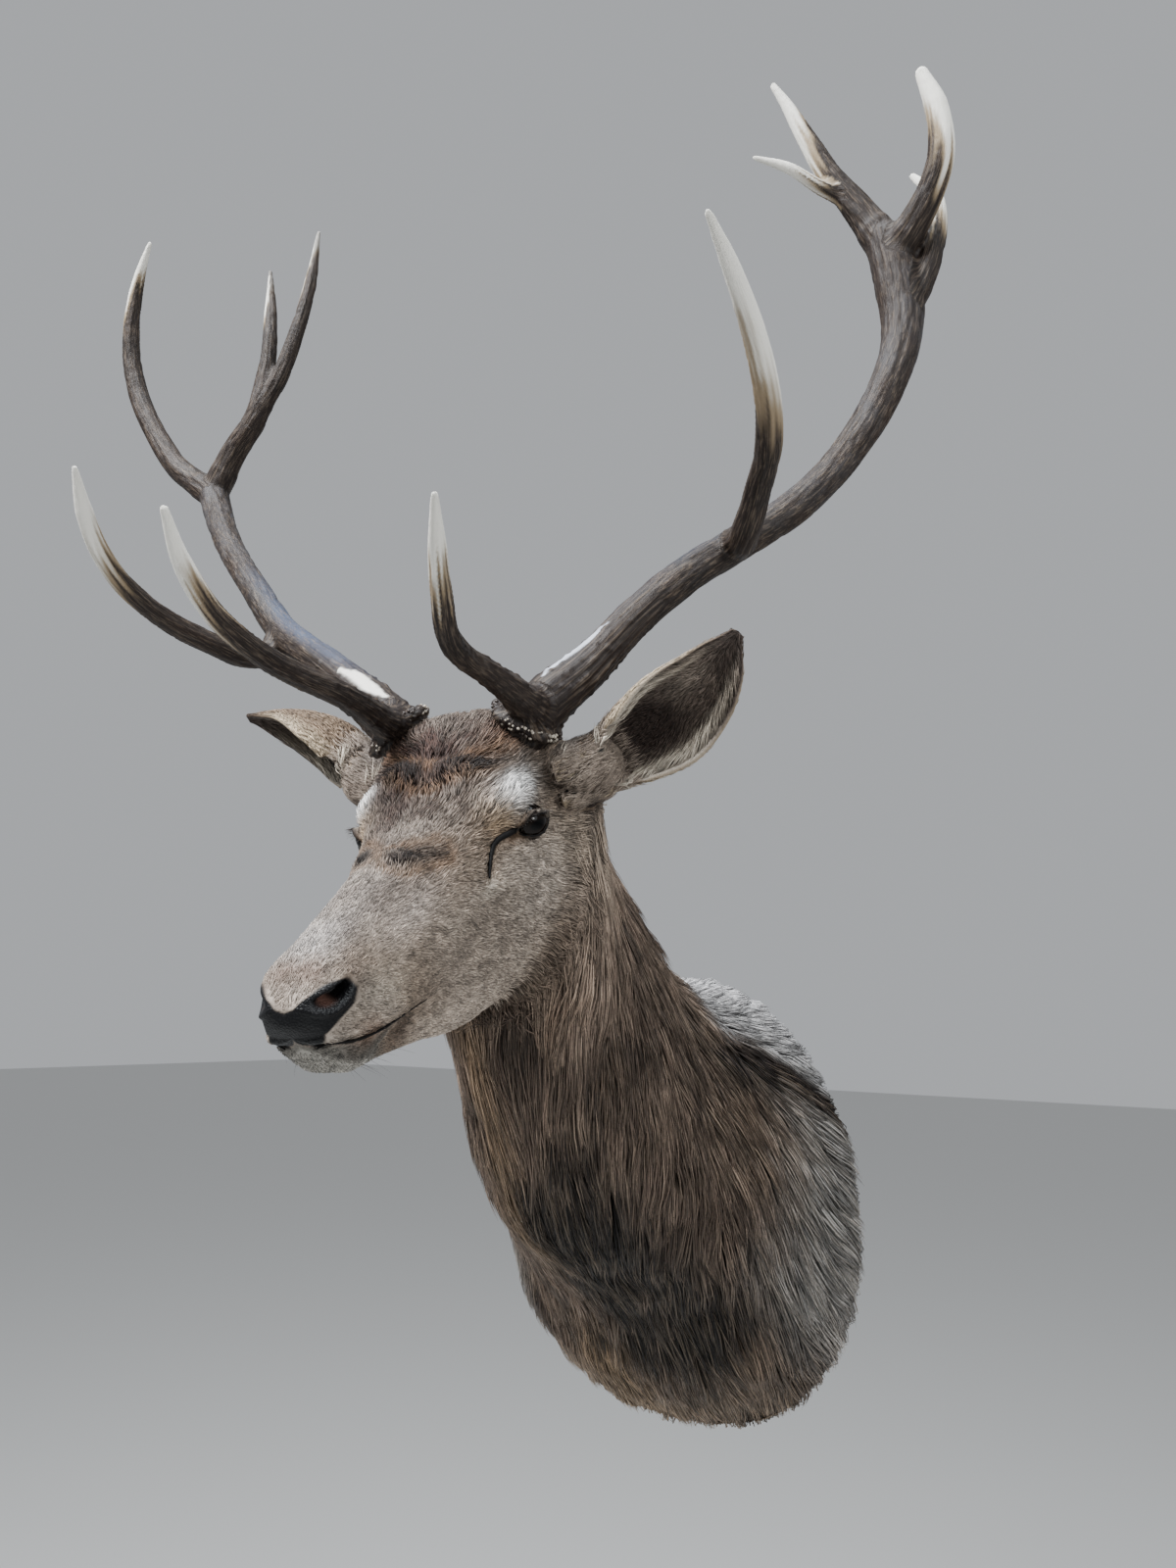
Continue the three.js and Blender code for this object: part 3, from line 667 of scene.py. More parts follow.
def capped_tube(name, points, start, end, material=None):
    """A closed mesh from rings and a point at either end."""
    rows, sides = points.shape[:2]
    k, n = np.arange(sides), rows * sides
    ends = np.concatenate([
        np.stack([(k + 1) % sides, k, np.full(sides, n)], 1),
        np.stack([k + n - sides, (k + 1) % sides + n - sides, np.full(sides, n + 1)], 1)])
    made = new_mesh(name, np.vstack([points.reshape(-1, 3), start, end]),
                    grid_faces(rows, sides, True), ends, material)
    face_outwards(made)
    return made


def settle(made):
    """Applies the live modifiers and drops them."""
    graph = bpy.context.evaluated_depsgraph_get()
    plain = bpy.data.meshes.new_from_object(made.evaluated_get(graph))
    made.modifiers.clear()
    old, made.data = made.data, plain
    bpy.data.meshes.remove(old)
    return made


def shrink_round_middle(ring, inset):
    middle = coat_surface.points[-1].mean(0)
    flat = (ring - middle) * [1, 0, 1]
    return ring - flat / np.linalg.norm(flat, axis=1, keepdims=True) * inset


# %% Body shell
CAP = np.array([0.2, 0.42, 0.62, 0.78, 0.9])  # share of the first ring, from the pole outwards
first = body.points[0]
nose_tip = first.mean(0)
ahead = from_head([0, -1, 0]) - from_head([0, 0, 0])
cap_rows = [nose_tip + (first - nose_tip) * c + ahead * 2.0 * math.sqrt(1 - c * c) for c in CAP]
rim = coat_surface.points[-1].copy()
rim[:, 1] = -1.2
board_edge = shrink_round_middle(rim, 37.0)
pocket = board_edge * [1, 0, 1] + [0, -18.5, 0]
rows = np.array([*cap_rows, *body.points, board_edge, pocket])
skin = capped_tube("skin", rows, nose_tip + ahead * 2.0, pocket.mean(0))
row_s = np.concatenate([-1.2 * (1 - CAP), stations, [WALL_END, WALL_END]])
set_values(skin, "s", np.concatenate([np.repeat(row_s, COLUMNS), [-1.2, WALL_END]]))
set_values(skin, "degrees", np.concatenate([np.tile(TURN[0], len(rows)), [0, 0]]))
set_values(skin, "part", np.zeros(len(rows) * COLUMNS + 2))
print("body shell:", len(skin.data.polygons), "faces")

# %% Ear shells and union
def ear_shell(side):
    outer, inner = (sheet.points for sheet in ears[side])
    rings = np.concatenate([outer, inner[:, ::-1]], axis=1)
    tip = rings[-1].mean(0) + unit(rings[-1].mean(0) - rings[-3].mean(0)) * 1.5
    inside = np.tile(np.repeat([1.0, 2.0], EAR_COLUMNS), len(rings))
    return capped_tube("ear_shell", rings, rings[0].mean(0), tip), np.concatenate([inside, [1.0, 1.5]])


PLUG_RINGS, PLUG_SIDES = 30, 48


def ear_plug(side):
    """The flesh that fills the foot of the cup and ties it to the head."""
    middle = EAR_MIDDLE[side]
    along = unit(middle[14] - middle[4])
    across = unit(np.cross(along, [0, 0, 1.0]))
    axes = np.array([across * 33, np.cross(along, across) * 32, along * 30])
    down = np.linspace(0.1, math.pi - 0.1, PLUG_RINGS)[:, None]
    turn = (np.arange(PLUG_SIDES) * math.pi / (PLUG_SIDES / 2))[None]
    ball = np.broadcast_arrays(np.sin(down) * np.cos(turn), np.sin(down) * np.sin(turn), np.cos(down))
    centre = middle[9]
    plug = capped_tube("ear_plug", np.stack(ball, -1) @ axes + centre, centre + axes[2], centre - axes[2])
    return plug, np.full(PLUG_RINGS * PLUG_SIDES + 2, 3.0)


for shape in (ear_shell, ear_plug):
    for side, _ in SIDES:
        added, its_part = shape(side)
        for name, values in (("s", its_part * 0 + 16), ("degrees", its_part * 0 + 60), ("part", its_part)):
            set_values(added, name, values)
        join = skin.modifiers.new("ear", "BOOLEAN")
        join.operation, join.solver, join.object = "UNION", "MANIFOLD", added
        settle(skin)
        bpy.data.objects.remove(added)
print("skin with ears:", len(skin.data.vertices), "points")

# %% Soften the ear roots
def relax(made, share, rounds):
    """Moves each point towards its neighbours' middle by its share, a number of rounds."""
    edges = np.zeros(len(made.data.edges) * 2, int)
    made.data.edges.foreach_get("vertices", edges)
    a, b = edges.reshape(-1, 2).T
    places = vertex_places(made)
    links = np.bincount(np.concatenate([a, b]), minlength=len(places))[:, None]
    for _ in range(rounds):
        total = np.zeros_like(places)
        for c in range(3):
            total[:, c] = np.bincount(a, places[b, c], len(places))
            total[:, c] += np.bincount(b, places[a, c], len(places))
        places += (total / np.maximum(links, 1) - places) * share[:, None]
    made.data.vertices.foreach_set("co", (places * MM).ravel())
    made.data.update()


def nearest(places, targets):
    tree = KDTree(len(targets))
    for k, p in enumerate(targets):
        tree.insert(p, k)
    tree.balance()
    found = [tree.find(p) for p in places]
    return np.array([f[1] for f in found]), np.array([f[2] for f in found])


places = vertex_places(skin)
part = get_values(skin, "part")
at_root = np.linalg.norm(to_head(places) * [0, 1, 0] - [0, 112, 0], axis=1) < 60
joint = np.zeros(len(places))
member = np.digitize(part, [0.5, 2.5])  # 0 on the head, 1 on an ear, 2 on its plug
for kind in range(3):
    pick = np.where((member == kind) & at_root)[0]
    _, gap = nearest(places[pick], places[(member != kind) & at_root])
    joint[pick] = 1 - between(7, 26, gap)
relax(skin, joint * 0.6, 70)
relax(skin, (1 - between(0.4, 1.4, get_values(skin, "s"))) * (part < 0.5) * 0.6, 12)
print("softened points:", int((joint > 0).sum()))

# %% [markdown]
# ## Markings
# One function gives the colour of the hair at any place on the animal, from its place in
# the head's frame or along the body. Skin and tufts both ask it, so a bare patch between
# two tufts never shows a wrong colour. The colours are soft patches laid over each other,
# and noise breaks up their edges.

# %% Colour helpers
def srgb(*values):
    v = np.array(values, float) / 255
    return np.where(v > 0.04045, ((v + 0.055) / 1.055) ** 2.4, v / 12.92)


def patch(local, at, spread):
    """1 at a place on either side of the head, fading to 0 over spread millimetres."""
    return np.exp(-0.5 * (((folded(local) - at) / spread) ** 2).sum(-1))


def oval(i, j, at, spread):
    """1 at a place of an ear's chart, fading to 0 over spread."""
    return np.exp(-(((i - at[0]) / spread[0]) ** 2 + ((j - at[1]) / spread[1]) ** 2))


def lay(base, color, share):
    return mix(base, color, np.clip(share, 0, 1)[:, None])


def two_tone(base, other, share):
    """A ground colour for every place, with a share of another laid over it."""
    return lay(np.tile(srgb(*base), (len(share), 1)), srgb(*other), share)


def lay_spots(c, local, spots):
    for color, strength, at, spread in spots:
        c = lay(c, srgb(*color), strength * patch(local, at, spread))
    return c


NOSE_DEGREES = np.array([0, 10, 18, 26, 40, 52, 65, 75, 80, 90, 110, 180])
NOSE_EDGE = np.array([1.0, 1.25, 1.75, 2.1, 2.9, 3.6, 3.75, 3.35, 2.4, 1.05, 0.6, 0.35])
# the line of the crease before the ear, darkened as painted shade
SHADED_CREASE = np.array([[91.0, 84, 22], [99, 75, 3], [106, 64, -23], [114, 59, -49]])
WHORLS = [np.array([[6.0, -24, 49], [30, -6, 54], [50, 13, 54]]),
          np.array([[16.0, -128, 24], [26, -112, 23], [38, -98, 20]])]
SPOTS = {  # colour, strength, place and spread of patches that are laid one after another
    "muzzle": [
        ((192, 187, 184), 0.55, (4, -239, 14), (12, 20, 9)),  # ridge behind the nose pad
        ((194, 184, 176), 0.55, (35, -160, -5), (13, 34, 14)),  # side of the nose bridge
        ((222, 208, 194), 0.8, (78, 0, -54), (26, 34, 26)),  # cheek under the eye
        ((84, 72, 66), 0.8, (38, -246, -20), (10, 12, 11))],  # behind the nostril
    "brow": [
        ((236, 234, 232), 1.2, (69, -6, 31), (10, 22, 11)),  # over the eye
        ((176, 150, 118), 0.7, (62, -36, 12), (10, 12, 9))],  # before the eye
    "nostril": [
        ((214, 202, 186), 0.85, (64, -79, -27), (6, 10, 4)),  # end of the tear pit
        ((116, 88, 72), 0.6, (8, -264, 5), (10, 8, 7)),  # top of the nose pad
        ((196, 184, 168), 0.7, (38, -236, -34), (10, 22, 12))],  # upper lip
    "lips": [
        ((64, 45, 34), 1.1, (34, -203, -80), (12, 9, 9)),  # side of the lower lip
        ((112, 88, 72), 0.8, (34, -252, -50), (10, 10, 9)),  # front of the upper lip
        ((92, 70, 56), 0.7, (36, -236, 6), (9, 12, 9))],  # above the nostril
}
WITHERS_Y = np.array([-265, -140, -85, -43, -4])
WITHERS_Z = np.array([213, 169, 154, 122, 87])


def bare_nose(s, degrees):
    above_mouth = 1 - between(-7, 3, degrees - np.interp(s, MOUTH_S, MOUTH_DEGREES))
    return above_mouth * (1 - between(-0.12, 0.12, s - np.interp(degrees, NOSE_DEGREES, NOSE_EDGE)))


def dark_mouth(places):
    gap, share = distance_to_line(folded(to_head(places)), MOUTH_LINE)
    return bell(gap, mix(2.9, 1.8, share))


# %% Colours of face, neck and shoulders
def body_colour(places, s, degrees):
    local = to_head(places)
    fine, wide = lumps(places, 7, 1), lumps(places, 34, 2)
    gap = degrees - np.interp(s, MOUTH_S, MOUTH_DEGREES)
    c = two_tone((174, 161, 148), (80, 66, 58), 0.32 + 0.55 * fine + 0.4 * wide)
    c = lay(c, srgb(152, 132, 112), 0.6 * between(20, 60, degrees) * (1 - between(6, 10, np.abs(s - 11))))
    c = lay(c, srgb(152, 143, 137), 0.55 * patch(local, (12, -190, 20), (16, 60, 16)))
    c = lay(c, srgb(204, 191, 178),
            0.4 * between(62, 92, degrees) * between(5.5, 7.5, s) * (1 - between(13, 15, s)))
    c = lay_spots(c, local, SPOTS["muzzle"])
    c = lay(c, srgb(112, 96, 86), 0.7 * patch(local, (30, -120, 10), (14, 46, 14)) * (0.6 + 0.6 * wide))
    top = patch(local, (8, -4, 56), (34, 58, 30))
    c = lay(c, srgb(70, 52, 46), 1.5 * top * (0.85 + 0.35 * wide + 0.3 * fine))
    c = lay(c, srgb(98, 66, 48), 0.7 * patch(local, (50, 36, 62), (16, 16, 12)))
    for line in WHORLS:
        whorl, _ = distance_to_line(folded(local), line)
        # dark hair at the whorls, deepened as painted shade under their ridges
        c = lay(c, srgb(30, 21, 18), 1.5 * bell(whorl, 9.0) * (0.75 + 0.6 * fine))
        c = lay(c, srgb(132, 102, 76), 0.5 * bell(whorl - 15, 5))
    c = lay_spots(c, local, SPOTS["brow"])
    front, up, reach, _ = eye_chart(folded(local))
    rim = almond(front, up)
    near = reach < 45
    c = lay(c, srgb(134, 108, 84), 0.6 * near * (1 - between(1.3, 2.0, rim)) * between(-6, 8, front))
    c = lay(c, srgb(24, 18, 16), 1.2 * near * (1 - between(1.25, 1.62, rim)))
    pit, share = distance_to_line(folded(local), TEAR_PIT)
    c = lay(c, srgb(138, 112, 88), 0.5 * bell(pit, 9))
    c = lay(c, srgb(12, 9, 8), 1.3 * bell(pit, mix(3.6, 2.4, share)))
    c = lay_spots(c, local, SPOTS["nostril"])
    lips = 1 - between(4.2, 5.6, s)
    c = lay(c, srgb(168, 156, 144), 0.6 * lips * bell(gap + 14, 11))
    c = lay(c, srgb(112, 108, 101), 0.95 * (1 - between(4.0, 5.0, s)) * between(2, 10, gap))
    c = lay(c, srgb(172, 167, 158), 0.8 * (1 - between(3.4, 4.4, s)) * between(26, 42, gap))
    c = lay_spots(c, local, SPOTS["lips"])
    c = lay(c, srgb(52, 40, 34), 0.7 * dark_mouth(places))
    c = lay(c, srgb(212, 196, 180),
            0.75 * between(5.0, 6.5, s) * (1 - between(13, 15.5, s)) * between(4, 26, gap))
    neck = between(14.2, 17.6, s + 0.5 * wide)
    locks = lumps(places * [1, 1, 0.55], 26, 3)
    mane = two_tone((110, 94, 82), (60, 48, 41), 0.45 + 0.55 * locks + 0.3 * wide)
    mane = lay(mane, srgb(160, 140, 124),
               0.8 * (1 - between(18.5, 21.0, s)) * (1 - between(110, 150, degrees)))
    mane = lay(mane, srgb(128, 108, 90), 0.4 * between(0.1, 0.6, lumps(places, 60, 9)))
    gold = 1 - between(-38, 12, places[:, 0])
    mane = lay(mane, srgb(148, 124, 96),
               0.75 * gold * between(140, 172, degrees) * (1 - between(22.0, 24.0, s)))
    mane = lay(mane, srgb(146, 122, 92), 0.6 * gold * between(150, 172, degrees) * between(24.3, 25.4, s))
    mane = lay(mane, srgb(146, 143, 139), 0.85 * between(24.0, 25.6, s) * (1 - between(112, 140, degrees)))
    # darker hair under the lower neck, deepened as painted shade of the underside
    low = between(112, 146, degrees) * between(20.2, 21.6, s) * (1 - between(25.0, 25.8, s)) * (1 - gold)
    mane = lay(mane, srgb(20, 14, 11), 1.15 * low * (0.9 + 0.4 * locks))
    mane = lay(mane, srgb(146, 128, 108), 0.5 * between(25.2, 26.2, s) * between(125, 150, degrees))
    crest = places[:, 2] - np.interp(places[:, 1], WITHERS_Y, WITHERS_Z)
    back = between(-195, -120, places[:, 1])
    mane = lay(mane, srgb(140, 138, 137), back * between(14, 44, crest + 20 * fine))
    mane = lay(mane, srgb(180, 178, 178), back * between(50, 110, crest))
    # painted shadow: a dark stripe along the crease where the mane meets the withers
    mane = lay(mane, srgb(30, 22, 19), 1.3 * between(-240, -180, places[:, 1]) * bell(crest - 5, 19))
    c = c * (1 - neck[:, None]) + mane * neck[:, None]
    c = lay(c, srgb(188, 172, 154), 0.8 * patch(local, (97, 66, -28), (18, 34, 30)) * (0.9 + 0.5 * fine))
    # painted shade along the crease before the ear
    crease, _ = distance_to_line(folded(local), SHADED_CREASE)
    c = lay(c, srgb(48, 38, 34), 1.1 * bell(crease, 9))
    return c


def ear_colour(i, j, inside, places):
    """i runs from root to tip and j across the cup, both from 0 to 1."""
    fine = lumps(places, 8, 4)
    edge = np.abs(j - 0.5) * 2
    if not inside:
        c = two_tone((134, 115, 96), (92, 76, 63), 0.4 + 0.5 * fine)
        c = lay(c, srgb(184, 168, 144), 0.8 * between(0.7, 0.98, edge) * (1 - between(0.75, 0.95, i)))
        return lay(c, srgb(58, 47, 41), 0.8 * between(0.86, 0.98, i))
    tufted = lumps(places, 16, 8)
    c = two_tone((116, 103, 93), (56, 46, 41), 0.4 + 0.5 * fine + 0.5 * tufted)
    c = lay(c, srgb(142, 130, 118), 0.7 * oval(i, j, (0.66, 0.4), (0.14, 0.14)))
    # painted shade: the deep middle of the cup is darkened
    c = lay(c, srgb(50, 40, 35), 1.4 * oval(i, j, (0.42, 0.5), (0.19, 0.25)))
    c = lay(c, srgb(186, 176, 162), 0.9 * between(0.72, 0.92, edge) * (1 - between(0.5, 0.75, i)))
    return lay(c, srgb(74, 64, 59), 0.85 * between(0.72, 0.97, i))


def root_colour_at(places):
    """The foot of an ear: beige, bluish grey below the burr, and painted shade in the furrow behind the eye.
    """
    local = to_head(places)
    c = two_tone((160, 146, 132), (100, 86, 76), 0.3 + 0.6 * lumps(places, 12, 61))
    # painted shade in the furrow before the ear
    c = lay(c, srgb(74, 66, 63), 0.6 * patch(local, (104, 78, 4), (12, 11, 26)))
    c = lay(c, srgb(92, 90, 92), 0.85 * patch(local, (84, 96, 44), (18, 20, 14)))
    # painted shade along the crease
    crease, _ = distance_to_line(folded(local), SHADED_CREASE)
    return lay(c, srgb(48, 38, 34), 1.1 * bell(crease, 10))


# %% Colours of the skin
places = vertex_places(skin)
part = get_values(skin, "part")
s, degrees = get_values(skin, "s"), get_values(skin, "degrees")
colour = body_colour(places, s, degrees) * 0.8
bare = bare_nose(s, degrees) * (part < 0.5)
mouth = dark_mouth(places) * (part < 0.5)
colour = lay(colour, srgb(16, 12, 11), 1.6 * mouth)
colour = lay(colour, srgb(7, 7, 9), bare)
hole = nostril_chart(folded(to_head(places)))
in_nostril = (1 - between(0.45, 1.0, hole)) * (s < 6) * (part < 0.5)
# painted shade: the deep end of each nostril is coloured black
shaded_nostril_end = between(-4, 5, (folded(to_head(places)) - NOSTRIL) @ NOSTRIL_ALONG)
colour = lay(colour, srgb(86, 62, 54), in_nostril * (1 - shaded_nostril_end))
colour = lay(colour, srgb(5, 4, 4), in_nostril * shaded_nostril_end)
for side, sheets in ears.items():
    for inside, sheet in enumerate(sheets):
        mine = np.where((part > 0.5) & ((part > 1.5) == inside) & (to_head(places)[:, 0] * side > 0))[0]
        nodes, _ = nearest(places[mine], sheet.points[::2, ::2].reshape(-1, 3))
        half_cols = len(range(0, sheet.cols, 2))
        i, j = (nodes // half_cols) * 2 / sheet.rows, (nodes % half_cols) * 2 / sheet.cols
        colour[mine] = ear_colour(i, j, bool(inside), places[mine]) * 0.8
colour[part > 2.4] = root_colour_at(places[part > 2.4]) * 0.8
set_values(skin, "coat", colour, "FLOAT_COLOR")
set_values(skin, "bare", np.clip(bare + in_nostril, 0, 1))
print("skin coloured")

# %% [markdown]
# ## Materials of the coat and the skin
# The colour of each hair and of the skin is stored at its points, so the material only adds
# what the eye sees closer: a fine streak in the hair, and on the skin a short-fur bump that
# turns to wet pebbles on the nose.

# %% Material helper
def node_material(name):
    material = bpy.data.materials.new(name)
    material.use_nodes = True
    tree = material.node_tree
    return material, tree, tree.nodes["Principled BSDF"]


def add_node(tree, kind, **settings):
    node = tree.nodes.new(kind)
    for key, value in settings.items():
        if key in node.inputs:
            node.inputs[key].default_value = value
        else:
            setattr(node, key, value)
    return node


def set_inputs(node, values):
    for name, value in values.items():
        node.inputs[name].default_value = value


def mapped(tree, value, ranges):
    """A value moved from one range to another."""
    node = add_node(tree, "ShaderNodeMapRange", **ranges)
    tree.links.new(value, node.inputs["Value"])
    return node.outputs["Result"]


def add_texture(tree, kind, stretch=(1, 1, 1), **settings):
    """A texture that reads the place on the piece, stretched along the axes."""
    texture = add_node(tree, kind, **settings)
    place = add_node(tree, "ShaderNodeTexCoord")
    mapping = add_node(tree, "ShaderNodeMapping", Scale=stretch)
    tree.links.new(place.outputs["Object"], mapping.inputs["Vector"])
    tree.links.new(mapping.outputs["Vector"], texture.inputs["Vector"])
    return texture


def add_bump(tree, shader, height, strength, distance):
    bump = add_node(tree, "ShaderNodeBump", Strength=strength, Distance=distance)
    tree.links.new(height, bump.inputs["Height"])
    tree.links.new(bump.outputs["Normal"], shader.inputs["Normal"])


def add_ramp(tree, shader, texture, dark, light, low=0.0, high=1.0):
    """The base colour, dark where a texture is low and light where it is high."""
    ramp = add_node(tree, "ShaderNodeValToRGB")
    first, last = ramp.color_ramp.elements
    first.color, last.color = (*srgb(*dark), 1), (*srgb(*light), 1)
    first.position, last.position = low, high
    tree.links.new(texture.outputs["Fac"], ramp.inputs["Fac"])
    tree.links.new(ramp.outputs["Color"], shader.inputs["Base Color"])


def stored_colour(tree, shader, attribute, factor):
    """The base colour from a stored one times a factor."""
    stored = add_node(tree, "ShaderNodeAttribute", attribute_name=attribute)
    scaled = add_node(tree, "ShaderNodeVectorMath", operation="SCALE")
    tree.links.new(stored.outputs["Color"], scaled.inputs[0])
    tree.links.new(factor, scaled.inputs["Scale"])
    tree.links.new(scaled.outputs["Vector"], shader.inputs["Base Color"])


def streaked_colour(tree, shader, attribute, scale, dark, light):
    """The stored colour times a fine noise from dark to light."""
    grain = add_texture(tree, "ShaderNodeTexNoise", Scale=scale, Detail=3.0)
    ranges = {"From Min": 0.3, "From Max": 0.7, "To Min": dark, "To Max": light}
    stored_colour(tree, shader, attribute, mapped(tree, grain.outputs["Fac"], ranges))


# %% Hair and skin materials
hair_material, tree, shader = node_material("deer_hair")
streaked_colour(tree, shader, "coat", 420.0, 0.8, 1.2)
set_inputs(shader, {"Roughness": 0.62, "Specular IOR Level": 0.3})

skin_material, tree, shader = node_material("deer_skin")
streaked_colour(tree, shader, "coat", 700.0, 0.72, 1.22)
set_inputs(shader, {"Specular IOR Level": 0.2})
bare_mask = add_node(tree, "ShaderNodeAttribute", attribute_name="bare")
rough = mapped(tree, bare_mask.outputs["Fac"], {"To Min": 0.8, "To Max": 0.42})
tree.links.new(rough, shader.inputs["Roughness"])
fur = add_texture(tree, "ShaderNodeTexNoise", Scale=900.0, Detail=2.0)
pebbles = add_texture(tree, "ShaderNodeTexVoronoi", Scale=620.0)
relief = add_node(tree, "ShaderNodeMix", data_type="FLOAT")
tree.links.new(bare_mask.outputs["Fac"], relief.inputs["Factor"])
tree.links.new(fur.outputs["Fac"], relief.inputs["A"])
tree.links.new(pebbles.outputs["Distance"], relief.inputs["B"])
add_bump(tree, shader, relief.outputs["Result"], 0.55, 0.0009)
skin.data.materials.clear()
skin.data.materials.append(skin_material)
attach(skin, "root")
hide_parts("head", "nose_pad", "neck", "shoulders", "ear_left", "ear_right")
print("skin material done")

# %% [markdown]
# ## How a tuft is made
# Particle hair would be lost outside Blender, so every tuft is a thin closed spike: a
# three-sided tube that narrows to a point. Its root sits just inside the skin, and it walks
# over the skin in the direction of the lie. Tufts lean together into locks, as damp or
# grown-out hair does. All tufts of a piece are written as one mesh by array code, which
# takes a second or two where making them one by one would take far longer.

# %% Walk over the skin
skin_tree = BVHTree.FromPolygons(
    [tuple(v.co) for v in skin.data.vertices], [tuple(p.vertices) for p in skin.data.polygons])


def on_skin(places):
    """The nearest places on the skin in millimetres, with its outward directions."""
    found = [skin_tree.find_nearest(p) for p in places * MM]
    return np.array([f[0] for f in found]) / MM, np.array([f[1] for f in found])


def rooted(sheet, count, density, reach):
    """Random places of a sheet within reach of the skin, as rows, columns and points."""
    i, j = sheet.scatter(count, density, RANDOM)
    roots = sheet.look(sheet.points, i, j)
    snapped, _ = on_skin(roots)
    kept = np.linalg.norm(snapped - roots, axis=1) < reach
    return i[kept], j[kept], roots[kept]


def walk(sheet, i, j, heading, length, steps):
    """Paths over a sheet from their roots, as places and directions out of the skin."""
    path, out = [], []
    for k in range(steps + 1):
        places, normal = sheet.look(sheet.points, i, j), unit(sheet.look(sheet.normals, i, j))
        if k < steps:
            aim = heading(places, i, j, k / steps)
            aim = unit(aim - normal * (aim * normal).sum(-1, keepdims=True))
            i, j = sheet.step(i, j, aim, length / steps)
        places, normal = on_skin(places)
        path.append(places)
        out.append(normal)
    path = np.array(path)
    span = np.linalg.norm(path[-1] - path[0], axis=1) + 1e-6
    return path[0] + (path - path[0]) * np.minimum(1, 1.2 * length / span)[:, None], np.array(out)


def lean_together(path, roots, centres, spines, pull):
    """Bends each path towards the spine of its lock, more towards the tip."""
    lock, _ = nearest(roots, centres)
    share = np.linspace(0, 1, len(path)) ** 1.3 * pull
    pulled = spines[:, lock] - path
    pulled *= np.minimum(1, 22 / (np.linalg.norm(pulled, axis=-1, keepdims=True) + 1e-6))
    return path + pulled * share[:, None, None], lock


# %% Tufts to mesh
UV_PATCH = 0.003  # the share of the map that one tuft covers each way


def tuft_mesh(name, path, out, width, colours, place_uv, material):
    """Closed spikes along paths (steps+1, tufts, 3), coloured from root to tip."""
    rings, tufts = len(path) - 1, path.shape[1]
    along = np.gradient(path, axis=0)
    side = unit(np.cross(along, out))
    up = unit(np.cross(side, along))
    shape = np.interp(np.linspace(0, 1, rings + 1), [0, 0.3, 0.75, 1], [0.75, 1.0, 0.7, 0.0])
    half = width[None, :, None] * shape[:rings, None, None] / 2
    corners = [path[:-1] - side[:-1] * half, path[:-1] + side[:-1] * half, path[:-1] + up[:-1] * half * 0.9]
    points = np.stack(corners, axis=1)                                 # rings, 3, tufts, 3
    points = points.transpose(2, 0, 1, 3).reshape(tufts, rings * 3, 3)
    points = np.concatenate([points, path[-1][:, None]], axis=1)       # the tip comes last
    points[..., 1] = np.minimum(points[..., 1], -0.4)
    quads = [[3 * r + a, 3 * r + b, 3 * r + 3 + b, 3 * r + 3 + a]
             for r in range(rings - 1) for a, b in ((0, 1), (1, 2), (2, 0))]
    last, tip = 3 * (rings - 1), 3 * rings
    tris = [[last + a, last + b, tip] for a, b in ((0, 1), (1, 2), (2, 0))] + [[0, 2, 1]]
    offset = (np.arange(tufts) * (tip + 1))[:, None, None]
    quads, tris = np.array(quads).reshape(-1, 4), np.array(tris)
    made = new_mesh(name, points, (quads + offset).reshape(-1, 4), (tris + offset).reshape(-1, 3), material)
    ring_of = np.append(np.repeat(np.arange(rings), 3), rings)
    set_values(made, "coat", colours.transpose(1, 0, 2)[:, ring_of].reshape(-1, 3), "FLOAT_COLOR")
    across = np.append(np.tile([0.0, 0.33, 0.67], rings), 0.5)
    patch_uv = np.stack([across - 0.5, ring_of / rings - 0.5], axis=1) * UV_PATCH
    uv = np.zeros(len(made.data.loops), int)
    made.data.loops.foreach_get("vertex_index", uv)
    spot = place_uv[uv // (tip + 1)] + patch_uv[uv % (tip + 1)]
    made.data.uv_layers.new(name="OFBake").data.foreach_set("uv", spot.ravel())
    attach(made, "root")
    return made


BODY_V = np.concatenate([[0], np.cumsum(np.linalg.norm(np.diff(body.points, axis=0), axis=-1).mean(1))])
BODY_V = 0.02 + 0.96 * BODY_V / BODY_V[-1]


def body_uv(i, j):
    """A place on the unrolled skin: round the body across, and from nose to wall upwards."""
    turn = (j / COLUMNS + 0.5) % 1
    return np.stack([0.02 + 0.6 * turn, np.interp(i, np.arange(len(BODY_V)), BODY_V)], axis=1)


def grow(name, pieces, i, path, out, width, root_colour, tip_colour, uv):
    """Makes the tufts as a number of meshes, one band of the body after another."""
    order = np.argsort(i, kind="stable")
    share = np.linspace(0, 1, len(path))[:, None, None]
    for number, some in enumerate(np.array_split(order, pieces), 1):
        colours = root_colour[some] * (1 - share) + tip_colour[some] * share
        made = tuft_mesh(f"{name}_{number}", path[:, some], out[:, some], width[some], colours, uv[some],
                         hair_material)
        print(made.name, len(some), "tufts")


# %% [markdown]
# ## The short coat of the head
# Face hair is about a centimetre long and lies flat: backwards from the nose, round the
# eyes, down over the cheeks and up over the forehead, where it is longer and turns in two
# whorls. Nose, lids, tear pit and lips stay bare.

